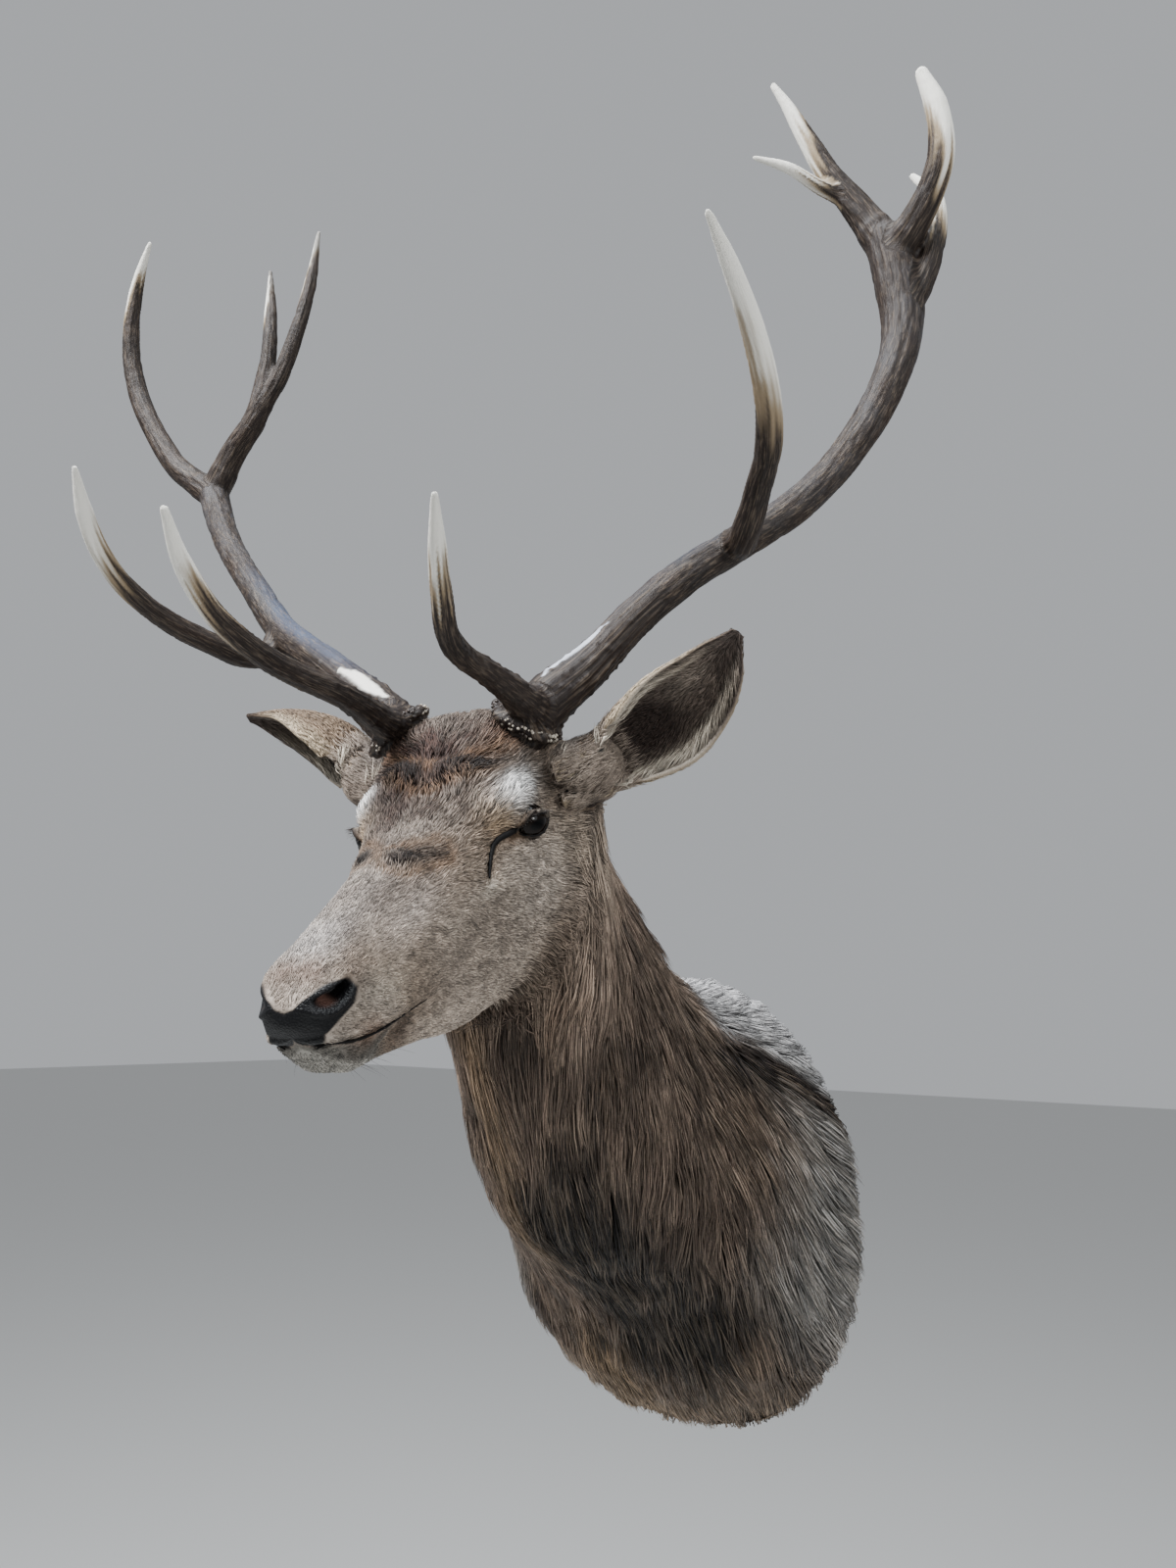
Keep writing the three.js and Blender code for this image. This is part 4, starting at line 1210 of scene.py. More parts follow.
# %% Face coat
FACE_TUFTS, FACE_LOCKS = 54000, 2600
local = to_head(body.points.reshape(-1, 3))
front, up, reach, _ = eye_chart(folded(local))
pit_gap, pit_share = distance_to_line(folded(local), TEAR_PIT)
mouth_gap, _ = distance_to_line(folded(local), MOUTH_LINE)
bald = np.maximum.reduce([
    bare_nose(ROW_S.ravel(), TURN.ravel()) > 0.5,
    (almond(front, up) < 1.3) & (reach < 45), pit_gap < mix(4.2, 3.0, pit_share), mouth_gap < 1.9,
    (nostril_chart(folded(local)) < 1.1) & (ROW_S.ravel() < 6)])
density = np.where(bald, 0.0, 1.0).reshape(ROW_S.shape)
density *= mix(1.25, 1.0, between(5, 9, ROW_S)) * (1 - 0.55 * between(14.5, 17.5, ROW_S))
density *= ROW_S < 17.8
i, j, roots = rooted(body, FACE_TUFTS, density, 4.0)


def to_world_direction(direction):
    return from_head(direction) - from_head(np.zeros(3))


def face_heading(places, i, j, share):
    local = to_head(places)
    half = folded(local)
    s, turn = body.look(ROW_S, i, j), body.look(TURN, i, j)
    cheek = between(45, 90, turn) * (1 - between(150, 175, turn))
    brow = between(8.5, 11, s) * (1 - between(45, 75, turn))
    down = -(0.1 + 0.38 * cheek) + 0.35 * brow
    aim = np.stack([0.28 * brow + 0.1 * cheek, np.ones(len(s)), down], axis=1)
    ray = half - EYE["centre"]
    front, up, reach, _ = eye_chart(half)
    ring = (1 - between(1.0, 2.4, almond(front, up))) * (reach < 50)
    pit, _ = distance_to_line(half, TEAR_PIT)
    ring = ring * between(5, 12, pit)
    away = unit(ray)
    away[:, 1] = np.maximum(away[:, 1], 0)
    aim = unit(aim) + away * 1.1 * ring[:, None]
    aim = mix(unit(aim), np.array([0.14, 0.9, 0.3]), (1 - between(4, 9, pit))[:, None])
    gap, share = distance_to_line(half, MOUTH_LINE)
    steps = np.clip((share * (len(MOUTH_LINE) - 1)).astype(int), 0, len(MOUTH_LINE) - 2)
    aim = mix(aim, unit(MOUTH_LINE[steps + 1] - MOUTH_LINE[steps]), (1 - between(5, 14, gap))[:, None])
    for line in WHORLS:
        gap, _ = distance_to_line(half, line)
        centre = line.mean(0)
        swirl = np.cross(unit(half - centre), [0.2, 0.1, 1.0]) * bell(gap, 16)[:, None]
        aim = aim + swirl * 1.1
    aim[:, 0] *= np.sign(local[:, 0] + 1e-9)
    sway = sway_at(places, 17, 21)
    return to_world_direction(unit(aim) + sway * (0.28 + 0.5 * brow[:, None])) + jitter


s, turn = body.look(ROW_S, i, j), body.look(TURN, i, j)
crown = between(8.2, 11.5, s) * (1 - between(50, 85, turn))
nape = between(14.3, 17.6, s)
jowl = between(11, 14.5, s)
length = (mix(mix(5.0, 10.0, between(4, 10, s)), 17.0, crown)
          + 3 * jowl * (1 - between(110, 140, turn)) + 14 * nape)
pit, _ = distance_to_line(folded(to_head(roots)), TEAR_PIT)
front, up, reach, _ = eye_chart(folded(to_head(roots)))
by_eye = np.where(reach < 45, 1 - between(1.3, 2.3, almond(front, up)), 0)
chin = (1 - between(4.5, 6, s)) * between(100, 125, turn)
length = length * RANDOM.uniform(0.75, 1.25, len(s)) * mix(0.45, 1.0, between(3, 12, pit))
length = length * (1 - 0.55 * by_eye) * (1 - 0.35 * chin)
width = (mix(mix(0.62, 0.8, between(4, 10, s)), 1.05, crown) + 0.5 * nape) * (1 - 0.25 * by_eye)
jitter = RANDOM.normal(0, 0.13, (len(s), 3))
path, out = walk(body, i, j, face_heading, length, 2)
lift = mix(mix(1.3, 2.4, between(5, 11, s)), 6.5, crown) + 4.0 * nape
for line in WHORLS:
    gap, _ = distance_to_line(folded(to_head(roots)), line)
    lift = lift * (1 + 0.9 * bell(gap, 14))
lift = lift * RANDOM.uniform(0.35, 1.1, len(s))
rise = np.array([-0.7, 0.75, 1.0])[:, None] * lift[None]
rise[0] = -0.6
centre_ij = body.scatter(FACE_LOCKS, density, RANDOM)
locks = len(centre_ij[0])
jitter = RANDOM.normal(0, 0.1, (locks, 3))
spine_length = mix(7.0, 16.0, between(9, 12, body.look(ROW_S, *centre_ij)))
spines, _ = walk(body, *centre_ij, face_heading, spine_length, 2)
path, lock = lean_together(path, roots, spines[0], spines, 0.28)
path += out * rise[..., None]
tone = RANDOM.normal(1.0, 0.12, locks)[lock] * RANDOM.choice([0.55, 0.82, 1.0, 1.18, 1.42], len(s))
tone *= 1 + 0.4 * noise(roots, 4.5, 81)
colour = body_colour(roots, s, turn)
# darker roots: partly the hair's own colour, partly painted shade deep in the coat
tip_colour = colour * (tone * 1.16)[:, None]
root_colour = colour * (tone * 0.42)[:, None]
grow("face_coat", 3, i, path, out, width, root_colour, tip_colour, body_uv(i, j))

# %% [markdown]
# ## The mane and the coat of the shoulders
# From the throat back the hair is long and coarse. It hangs down the neck in locks and
# sweeps back over the shoulders, and over the withers it is shorter and smoother. First
# about 1500 locks are laid as lines, and then each tuft leans towards the line of its lock.

# %% Lie of the mane
def mane_heading(places, i, j, share):
    s, turn = body.look(ROW_S, i, j), body.look(TURN, i, j)
    back = unit(body.look(body.along, i, j))
    hang = mix(0.55, 1.0, between(18, 21, s)) * (1 - 0.55 * between(24, 27, s))
    hang = hang * mix(0.35, 1.0, between(15, 60, turn))
    sweep = mix(0.75, 0.5, between(18, 20, s)) + 0.75 * between(23.5, 26, s)
    aim = back * sweep[:, None] + np.array([0, 0, -1.0]) * hang[:, None]
    return aim + sway_at(places, 46, 31) * 0.42 + jitter * (0.6 + share)


def mane_length(s, turn, places):
    crest = places[:, 2] - np.interp(places[:, 1], WITHERS_Y, WITHERS_Z)
    smooth = between(-195, -120, places[:, 1]) * between(-6, 20, crest)
    long = mix(16.0, 64.0, between(14.8, 19.2, s)) + 12 * between(120, 165, turn)
    return mix(long, 34.0, smooth), smooth


# %% Mane coat
MANE_TUFTS, MANE_LOCKS = 44000, 1500
density = between(15.0, 16.8, ROW_S) * mix(1.0, 0.8, between(22, 26, ROW_S))
li, lj = body.scatter(MANE_LOCKS, density, RANDOM)
jitter = RANDOM.normal(0, 0.16, (len(li), 3))
ls, lturn = body.look(ROW_S, li, lj), body.look(TURN, li, lj)
lock_roots = body.look(body.points, li, lj)
spines, _ = walk(body, li, lj, mane_heading, mane_length(ls, lturn, lock_roots)[0], 3)
i, j, roots = rooted(body, MANE_TUFTS, density, 6.0)
s, turn = body.look(ROW_S, i, j), body.look(TURN, i, j)
length, smooth = mane_length(s, turn, roots)
length = length * RANDOM.uniform(0.7, 1.2, len(s))
jitter = RANDOM.normal(0, 0.11, (len(s), 3))
path, out = walk(body, i, j, mane_heading, length, 3)
path, lock = lean_together(path, roots, lock_roots, spines, 0.5)
depth = coat_depth(s) * mix(0.95, 0.6, smooth)
stand = RANDOM.uniform(0.55, 1.15, len(li))[lock] * RANDOM.uniform(0.7, 1.1, len(s))
rise = np.array([0.0, 0.55, 0.85, 1.0])[:, None] * (depth * stand)[None]
rise[0] = -0.8
path += out * rise[..., None]
path[..., 1] = np.minimum(path[..., 1], -1.0)
width = mix(0.85, 1.75, between(15.6, 20.5, s)) * RANDOM.uniform(0.6, 1.2, len(s))
tone = RANDOM.normal(1.0, 0.2, len(li))[lock] * RANDOM.choice([0.55, 0.78, 1.0, 1.25, 1.55], len(s))
tone = tone ** (1 - 0.55 * smooth)
colour = body_colour(roots, s, turn)
pale_tips = lay(colour * 1.28, srgb(168, 150, 130), 0.25 * (1 - smooth) * (RANDOM.random(len(s)) < 0.5))
# darker roots: partly the hair's own colour, partly painted shade deep in the coat
grow("mane_coat", 5, i, path, out, width, colour * (tone * mix(0.4, 0.85, smooth))[:, None],
     pale_tips * tone[:, None], body_uv(i, j))

# %% [markdown]
# ## The coat of the ears
# The back of an ear has a short flat coat. Inside, longer pale hair grows from both edges
# towards the middle of the cup, which is painted dark as shade.

# %% Ear coat
EAR_TUFTS = (3800, 4200)  # outside and inside of one ear


def ear_heading(places, i, j, _):
    along, across = unit(sheet.look(sheet.along, i, j)), unit(sheet.look(sheet.round, i, j))
    edge = j / (sheet.cols - 1) * 2 - 1
    turn_in = -edge * (0.7 if inside else 0.12)
    sway = lumps(places, 24, 51) * (0.5 if inside else 0.25)
    return along + across * (turn_in + sway)[:, None] + jitter


for side, sheets in ears.items():
    label = "left" if side > 0 else "right"
    for inside, sheet in enumerate(sheets):
        u = np.linspace(0, 1, sheet.rows)[:, None] * np.ones((1, sheet.cols))
        edge = np.abs(np.linspace(-1, 1, sheet.cols))[None] * np.ones((sheet.rows, 1))
        density = mix(1.0, 0.75 + 1.0 * edge**2, float(inside)) * (u < 0.985)
        i, j, roots = rooted(sheet, EAR_TUFTS[inside], density, 3.5)
        iu, ju = i / (sheet.rows - 1), j / (sheet.cols - 1)
        edge = np.abs(ju * 2 - 1)
        fringe = between(0.45, 0.95, edge) * (1 - between(0.7, 0.95, iu)) * inside
        deep = oval(iu, ju, (0.42, 0.5), (0.17, 0.24)) * inside
        length = mix(8.0, 14.0, float(inside)) + 10 * fringe - 8 * deep + 5 * (1 - between(0.05, 0.3, iu))
        length = length * RANDOM.uniform(0.7, 1.3, len(i))
        jitter = RANDOM.normal(0, 0.16, (len(i), 3))
        path, out = walk(sheet, i, j, ear_heading, length, 2)
        lift = (1.6 + 5.0 * fringe) * RANDOM.uniform(0.4, 1.2, len(i))
        path += out * (np.array([0.0, 0.7, 1.0])[:, None] * lift[None])[..., None]
        path[0] -= out[0] * 0.5
        tone = RANDOM.choice([0.55, 0.8, 1.0, 1.2, 1.5], len(i))
        colour = ear_colour(iu, ju, bool(inside), roots)
        tips = lay(colour * 1.15, srgb(200, 188, 168), 0.5 * fringe)
        uv = np.stack([0.66 + 0.15 * ju + 0.17 * inside, (0.02 if side > 0 else 0.52) + 0.37 * iu], axis=1)
        width = mix(1.05, 1.2, fringe)
        place = "inside" if inside else "outside"
        # darker roots: partly the hair's own colour, partly painted shade deep in the coat
        grow(f"ear_coat_{label}_{place}", 1, i, path, out, width, colour * (tone * 0.7)[:, None],
             tips * tone[:, None], uv)

# %% [markdown]
# ## Where the ears meet the head
# Here the skin is a join of several shapes, with no rows and columns to walk on. So these
# tufts step freely: a little way in their direction, then back to the nearest place on the
# skin. They run from the head up on to the ear and hide its foot.

# %% Coat of the ear roots
def walk_freely(roots, aims, length, steps):
    """Paths that step in a direction and drop back on to the skin."""
    places, normal = on_skin(roots)
    path, out = [places], [normal]
    for _ in range(steps):
        aims = unit(aims - normal * (aims * normal).sum(-1, keepdims=True))
        places, normal = on_skin(places + aims * (length / steps)[:, None])
        path.append(places)
        out.append(normal)
    return np.array(path), np.array(out)


FOOT_TUFTS = 4600
corners = np.array([p.vertices[:3] for p in skin.data.polygons])
corner_places = vertex_places(skin)[corners]
area = np.linalg.norm(np.cross(corner_places[:, 1] - corner_places[:, 0],
                               corner_places[:, 2] - corner_places[:, 0]), axis=1)
for side, label in SIDES:
    middle, tip_way = EAR_MIDDLE[side][8], unit(EAR_MIDDLE[side][20] - EAR_MIDDLE[side][4])
    centres = corner_places.mean(1)
    near_root = 1 - between(34, 52, np.linalg.norm(centres - middle, axis=1))
    near_root = near_root * (1 - between(26, 46, (centres - middle) @ tip_way))
    chosen = RANDOM.choice(len(area), FOOT_TUFTS, p=area * near_root / (area * near_root).sum())
    a, b = RANDOM.random((2, FOOT_TUFTS))
    a, b = np.where(a + b > 1, 1 - a, a)[:, None], np.where(a + b > 1, 1 - b, b)[:, None]
    c0, c1, c2 = corner_places[chosen].transpose(1, 0, 2)
    roots = c0 + (c1 - c0) * a + (c2 - c0) * b
    aims = tip_way + RANDOM.normal(0, 0.16, (FOOT_TUFTS, 3)) + 0.35 * sway_at(roots, 20, 71)
    path, out = walk_freely(roots, aims, RANDOM.uniform(10, 17, FOOT_TUFTS), 2)
    rise = np.array([-0.15, 0.7, 1.0])[:, None] * RANDOM.uniform(1.6, 4.2, FOOT_TUFTS)[None]
    path += out * rise[..., None]
    tone = RANDOM.choice([0.74, 0.9, 1.0, 1.1, 1.26], FOOT_TUFTS)[:, None]
    colour = root_colour_at(roots) * tone
    turn = np.arctan2((roots - middle)[:, 2], (roots - middle)[:, 0]) / (2 * math.pi) + 0.5
    reach = np.clip(((roots - middle) @ tip_way + 50) / 100, 0, 1)
    uv = np.stack([0.66 + 0.32 * turn, (0.41 if side > 0 else 0.91) + 0.07 * reach], axis=1)
    # darker roots: partly the hair's own colour, partly painted shade deep in the coat
    grow(f"ear_root_coat_{label}", 1, roots[:, 0] * 0, path, out, np.full(FOOT_TUFTS, 0.85),
         colour * 0.72, colour * 1.1, uv)

# %% [markdown]
# ## Eyes and lids
# A glass eye is a half ball with the pupil painted behind the glass. Here it is a full ball
# with the colours stored at its points and a clear coat over them. The dark edge of each lid
# is a thin tube that follows the opening on the ball, which gives the eye a clean outline.

# %% Tubes along a line
def transported(tangents):
    """Two directions across a line that turn as little as they can along it."""
    first = np.cross(tangents[0], [0.3, 0.1, 1.0])
    side = [unit(first)]
    for t in tangents[1:]:
        side.append(unit(side[-1] - t * (side[-1] @ t)))
    side = np.array(side)
    return side, np.cross(tangents, side)


def ring_points(line, side, up, radius, sides):
    """A ring of points round each place of a line, in the plane of two directions."""
    angle = np.arange(sides) * 2 * math.pi / sides
    ring = side[:, None] * np.cos(angle)[None, :, None] + up[:, None] * np.sin(angle)[None, :, None]
    return line[:, None] + ring * np.asarray(radius)[:, None, None]


def tube_points(line, tangents, radius, sides):
    return ring_points(line, *transported(tangents), radius, sides)


# %% Glass eyes
glass, tree, shader = node_material("glass_eye")
mottle = add_texture(tree, "ShaderNodeTexNoise", Scale=900.0, Detail=3.0)
stored_colour(tree, shader, "iris", mottle.outputs["Fac"])
set_inputs(shader, {
    "Roughness": 0.08, "Specular IOR Level": 0.05, "Coat Weight": 0.2, "Coat Roughness": 0.02})


for side, label in SIDES:
    centre, outwards, ahead_of, above = (
        mirrored(v, side) for v in (EYE["centre"], EYE_OUT, EYE_FRONT, EYE_UP))
    away = np.linspace(0.05, math.pi - 0.05, 40)[:, None]
    round_it = (np.arange(48) * 2 * math.pi / 48)[None]
    flat_front, flat_up = np.cos(round_it) * np.sin(away), np.sin(round_it) * np.sin(away)
    points = (outwards * np.cos(away)[..., None] + ahead_of * flat_front[..., None]
              + above * flat_up[..., None]) * EYE["radius"] + centre
    rows = from_head(points)
    ball = capped_tube(f"eyeball_{label}", rows, from_head(centre + outwards * EYE["radius"]),
                       from_head(centre - outwards * EYE["radius"]), glass)
    pupil = np.hypot(flat_front / 0.44, flat_up / 0.24)
    iris = np.hypot(flat_front, flat_up)
    tint = two_tone((28, 19, 14), (2, 2, 3), 1 - between(0.85, 1.15, pupil).ravel())
    tint = lay(tint, srgb(14, 10, 8), between(0.62, 0.78, iris).ravel())
    set_values(ball, "iris", np.vstack([tint, tint[:1], tint[-1:]]), "FLOAT_COLOR")
    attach(ball, "root")
    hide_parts(f"eye_{label}")

# %% Lid edges
lid_material, tree, shader = node_material("lid_edge")
set_inputs(shader, {"Base Color": (*srgb(8, 6, 6), 1), "Roughness": 0.6, "Specular IOR Level": 0.15})
creases = add_texture(tree, "ShaderNodeTexNoise", Scale=1100.0)
add_bump(tree, shader, creases.outputs["Fac"], 0.5, 0.0004)


RIM_SIDES = 10


def opening_line(share, lift, count=96):
    """Points round the eye opening, share of the almond out and lift off the ball."""
    angle = np.arange(count) * 2 * math.pi / count
    c, s = np.cos(angle), np.sin(angle)
    low, high = np.zeros(count), np.full(count, 40.0)
    for _ in range(30):
        mid = (low + high) / 2
        inside = almond(mid * c, mid * s) < share
        low, high = np.where(inside, mid, low), np.where(inside, high, mid)
    away = low / EYE["radius"]
    aim = (EYE_OUT * np.cos(away)[:, None] + EYE_FRONT * (np.sin(away) * c)[:, None]
           + EYE_UP * (np.sin(away) * s)[:, None])
    return EYE["centre"] + aim * (EYE["radius"] + lift), s


for side, label in SIDES:
    line, height = opening_line(1.0, 1.0)
    line = from_head(mirrored(line, side))
    tangents = unit(np.roll(line, -1, 0) - np.roll(line, 1, 0))
    out = unit(line - from_head(mirrored(EYE["centre"], side)))
    thick = mix(0.8, 1.3, between(-0.2, 0.6, height))
    points = ring_points(line, out, np.cross(tangents, out), thick, RIM_SIDES)
    edge = new_mesh(f"lid_edge_{label}", points, ring_faces(*points.shape[:2]), (), lid_material)
    face_outwards(edge)
    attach(edge, "root")


def dark_edge(name, knots, half):
    """A bare dark rim that tapers along a line."""
    line, tangents, _ = curve_through(knots, 60)
    radius = np.interp(np.linspace(0, 1, len(line)), np.linspace(0, 1, len(half)), half)
    rim = capped_tube(name, tube_points(line, tangents, radius, RIM_SIDES), line[0] - tangents[0] * 0.5,
                      line[-1] + tangents[-1] * 0.5, lid_material)
    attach(rim, "root")


for side, label in SIDES:
    dark_edge(f"tear_slit_{label}", from_head(mirrored(TEAR_PIT, side)), [2.3, 2.8, 2.5, 2.0, 1.6, 1.0])
    mouth_j = line_j if side > 0 else COLUMNS - line_j
    mouth_out = unit(body.look(body.normals, line_i, mouth_j))
    lift = np.linspace(3.2, 6.2, len(line_i))[:, None]
    lip_line = body.look(body.points, line_i, mouth_j) + mouth_out * lift
    dark_edge(f"mouth_edge_{label}", lip_line[::2], [0.6, 1.0, 0.9, 0.8, 0.6, 0.35])
print("eyes, lids and lips done")

# %% [markdown]
# ## Antlers
# An antler is bone. It grows from a burr, a ring set with small pearls, and the beam and
# tines are furrowed lengthwise where blood vessels lay. The tips are rubbed white. Each
# antler is built as round tubes along its lines, melted into one skin by a voxel remesh,
# and then furrowed by moving its points, so that the outline is rough and not only shaded.

# %% Antler lines
ANTLERS = {  # for each tine the line it follows and its half thickness along it, in millimetres
    1: {
        "beam": ([
            [55, 70, 54], [65, 72, 68], [86, 88, 82], [116, 113, 99], [161, 154, 133],
            [204, 191, 157], [249, 227, 174], [303, 264, 195], [348, 299, 226], [390, 335, 273],
            [414, 369, 319], [420, 400, 363], [412, 432, 428]],
            [26, 24, 19, 18, 18, 17.5, 17, 16.5, 17, 18, 20, 24, 21]),
        "brow_tine": ([
            [72, 78, 74], [78, 38, 97], [73, -5, 130], [71, -42, 153], [76, -74, 177],
            [89, -96, 214], [103, -115, 248], [117, -133, 279]],
            [20, 15, 12, 10.5, 10, 9, 7, 3]),
        "trez_tine": ([
            [249, 225, 174], [262, 196, 183], [284, 172, 222], [302, 145, 259], [310, 114, 297],
            [311, 84, 336], [308, 57, 370], [304, 33, 397], [299, 10, 423]],
            [15, 14, 12.5, 12, 11.5, 10.5, 9, 7, 3]),
        "crown_front": ([
            [413, 430, 415], [389, 446, 458], [364, 459, 499], [346, 473, 538], [329, 485, 577],
            [317, 491, 600]],
            [19, 16, 13, 11, 8, 3.5]),
        "crown_back": ([
            [415, 424, 408], [437, 415, 428], [456, 411, 453], [469, 411, 481], [470, 423, 523],
            [459, 435, 562]],
            [18, 16, 14, 12.5, 11, 6]),
        "crown_inner": ([
            [376, 452, 472], [352, 442, 489], [327, 433, 510], [294, 424, 527]],
            [8, 7, 5.5, 2.5]),
        "crown_rear": ([
            [424, 396, 352], [446, 414, 385], [462, 443, 431], [462, 460, 455], [443, 485, 483]],
            [13, 13, 11, 8, 3.5]),
    },
    -1: {
        "beam": ([
            [52, 73, 59], [62, 75, 73], [84, 90, 88], [115, 114, 107], [164, 152, 130],
            [209, 190, 146], [253, 227, 166], [294, 266, 203], [330, 304, 231], [362, 340, 256],
            [388, 374, 279], [411, 408, 302], [431, 441, 332]],
            [26, 24, 20, 19, 18.5, 18, 17, 16, 16, 16, 17, 18, 19]),
        "brow_tine": ([
            [68, 80, 78], [56, 42, 90], [61, -4, 127], [86, -45, 166], [94, -74, 194],
            [100, -98, 227], [100, -115, 268], [93, -126, 306]],
            [20, 15, 12, 11, 10.5, 9.5, 8, 3.5]),
        "trez_tine": ([
            [250, 224, 163], [258, 196, 146], [270, 168, 152], [282, 140, 174], [296, 109, 203],
            [308, 78, 243], [308, 56, 283], [299, 41, 320], [285, 30, 359]],
            [14, 13, 12, 12, 11, 10.5, 9.5, 8, 3]),
        "crown_front": ([
            [424, 430, 322], [482, 455, 365], [516, 477, 416], [541, 502, 475], [544, 525, 539],
            [521, 545, 606], [488, 544, 644]],
            [18, 16, 14, 13, 11.5, 9, 3]),
        "crown_back": ([
            [424, 434, 326], [391, 451, 369], [356, 461, 401], [338, 485, 453], [331, 515, 511],
            [333, 552, 575]],
            [17, 15.5, 14, 10.5, 8.5, 2.5]),
        "crown_inner": ([
            [360, 458, 396], [320, 481, 443], [291, 507, 496], [272, 537, 551], [262, 569, 607]],
            [12, 11, 9.5, 7.5, 2.5]),
    },
}
BURR_AXIS = [0.58, 0.12, 0.8]
TINE_STEPS = 240  # points along each tine
VOXEL = 0.0019  # metres
POLISH = {  # for some tines the length of the rubbed part in mm, its paler side and a dark tip
    1: {"trez_tine": (230, 1, 0), "crown_front": (130, -1, 0), "crown_back": (110, 1, 0)},
    -1: {"trez_tine": (170, 1, 0), "brow_tine": (125, 0.5, 0), "crown_front": (120, 1, 0),
         "crown_back": (70, 1, 1), "crown_inner": (70, 1, 0.8)}}


def tine_lines(side):
    """For each tine its name, even points, directions, radii and the run from its foot."""
    made = []
    for name, (knots, half) in ANTLERS[side].items():
        line, _, length = curve_through(mirrored(knots, side), TINE_STEPS)
        u = np.linspace(0, 1, TINE_STEPS)
        radius = np.interp(u * (len(half) - 1), np.arange(len(half)), half)
        line = from_head(line)
        made.append((name, line, unit(np.gradient(line, axis=0)), radius, u * length))
    return made


# %% Antler body
COLLAR_RINGS, COLLAR_SIDES = 72, 16


def burr_spokes(axis, angle):
    """Directions straight out from the axis of a burr."""
    across = unit(np.cross(axis, [0, 1, 0.2]))
    return across * np.cos(angle)[:, None] + np.cross(axis, across) * np.sin(angle)[:, None]


def antler_body(side, label):
    pieces = []
    for name, line, tangents, radius, run in tine_lines(side):
        radius = radius.copy()
        if name != "beam":
            radius[run < 30] *= 1.06
        rows = tube_points(line, tangents, radius, 22)
        tip = line[-1] + tangents[-1] * radius[-1] * 0.8
        pieces.append(capped_tube("tine", rows, line[0] - tangents[0] * 2, tip))
    foot = from_head(mirrored(ANTLERS[side]["beam"][0][1], side))
    axis = unit(to_world_direction(mirrored(BURR_AXIS, side)))
    angle = np.arange(COLLAR_RINGS) * 2 * math.pi / COLLAR_RINGS
    reach = 27.0 + 1.2 * np.sin(angle * 5 + side) + 0.9 * np.sin(angle * 11)
    spokes = burr_spokes(axis, angle)
    section = np.arange(COLLAR_SIDES) * 2 * math.pi / COLLAR_SIDES
    thick = (spokes[:, None] * (7.2 * np.cos(section))[None, :, None]
             + axis * (5.6 * np.sin(section))[None, :, None])
    ring = (foot + spokes * reach[:, None])[:, None] + thick
    collar = new_mesh("tine", ring, ring_faces(COLLAR_RINGS, COLLAR_SIDES))
    face_outwards(collar)
    pieces.append(collar)
    body_mesh = pieces[0]
    with bpy.context.temp_override(active_object=body_mesh, selected_editable_objects=pieces):
        bpy.ops.object.join()
    melt = body_mesh.modifiers.new("melt", "REMESH")
    melt.mode, melt.voxel_size = "VOXEL", VOXEL
    settle(body_mesh)
    body_mesh.name = f"antler_{label}"
    return body_mesh, foot, axis


# %% Furrows, pearls and colours of the antlers
bone, tree, shader = node_material("antler_bone")
stored = add_node(tree, "ShaderNodeAttribute", attribute_name="horn")
grain = add_node(tree, "ShaderNodeAttribute", attribute_name="grain")
rubbed = add_node(tree, "ShaderNodeAttribute", attribute_name="rubbed")
streaks = add_node(tree, "ShaderNodeTexNoise", Scale=720.0, Detail=5.0, Roughness=0.65)
tree.links.new(grain.outputs["Vector"], streaks.inputs["Vector"])
pale = mapped(tree, streaks.outputs["Fac"], {"From Min": 0.5, "From Max": 0.72})
keep_dark = add_node(tree, "ShaderNodeMath", operation="SUBTRACT")
keep_dark.inputs[0].default_value = 1.0
tree.links.new(rubbed.outputs["Fac"], keep_dark.inputs[1])
pale_share = add_node(tree, "ShaderNodeMath", operation="MULTIPLY")
tree.links.new(pale, pale_share.inputs[0])
tree.links.new(keep_dark.outputs["Value"], pale_share.inputs[1])
tan = add_node(tree, "ShaderNodeMix", data_type="RGBA")
tan.inputs["B"].default_value = (*srgb(112, 98, 84), 1)
tree.links.new(pale_share.outputs["Value"], tan.inputs["Factor"])
tree.links.new(stored.outputs["Color"], tan.inputs["A"])
tree.links.new(tan.outputs["Result"], shader.inputs["Base Color"])
set_inputs(shader, {"Roughness": 0.5, "Specular IOR Level": 0.22})
add_bump(tree, shader, streaks.outputs["Fac"], 0.7, 0.0011)


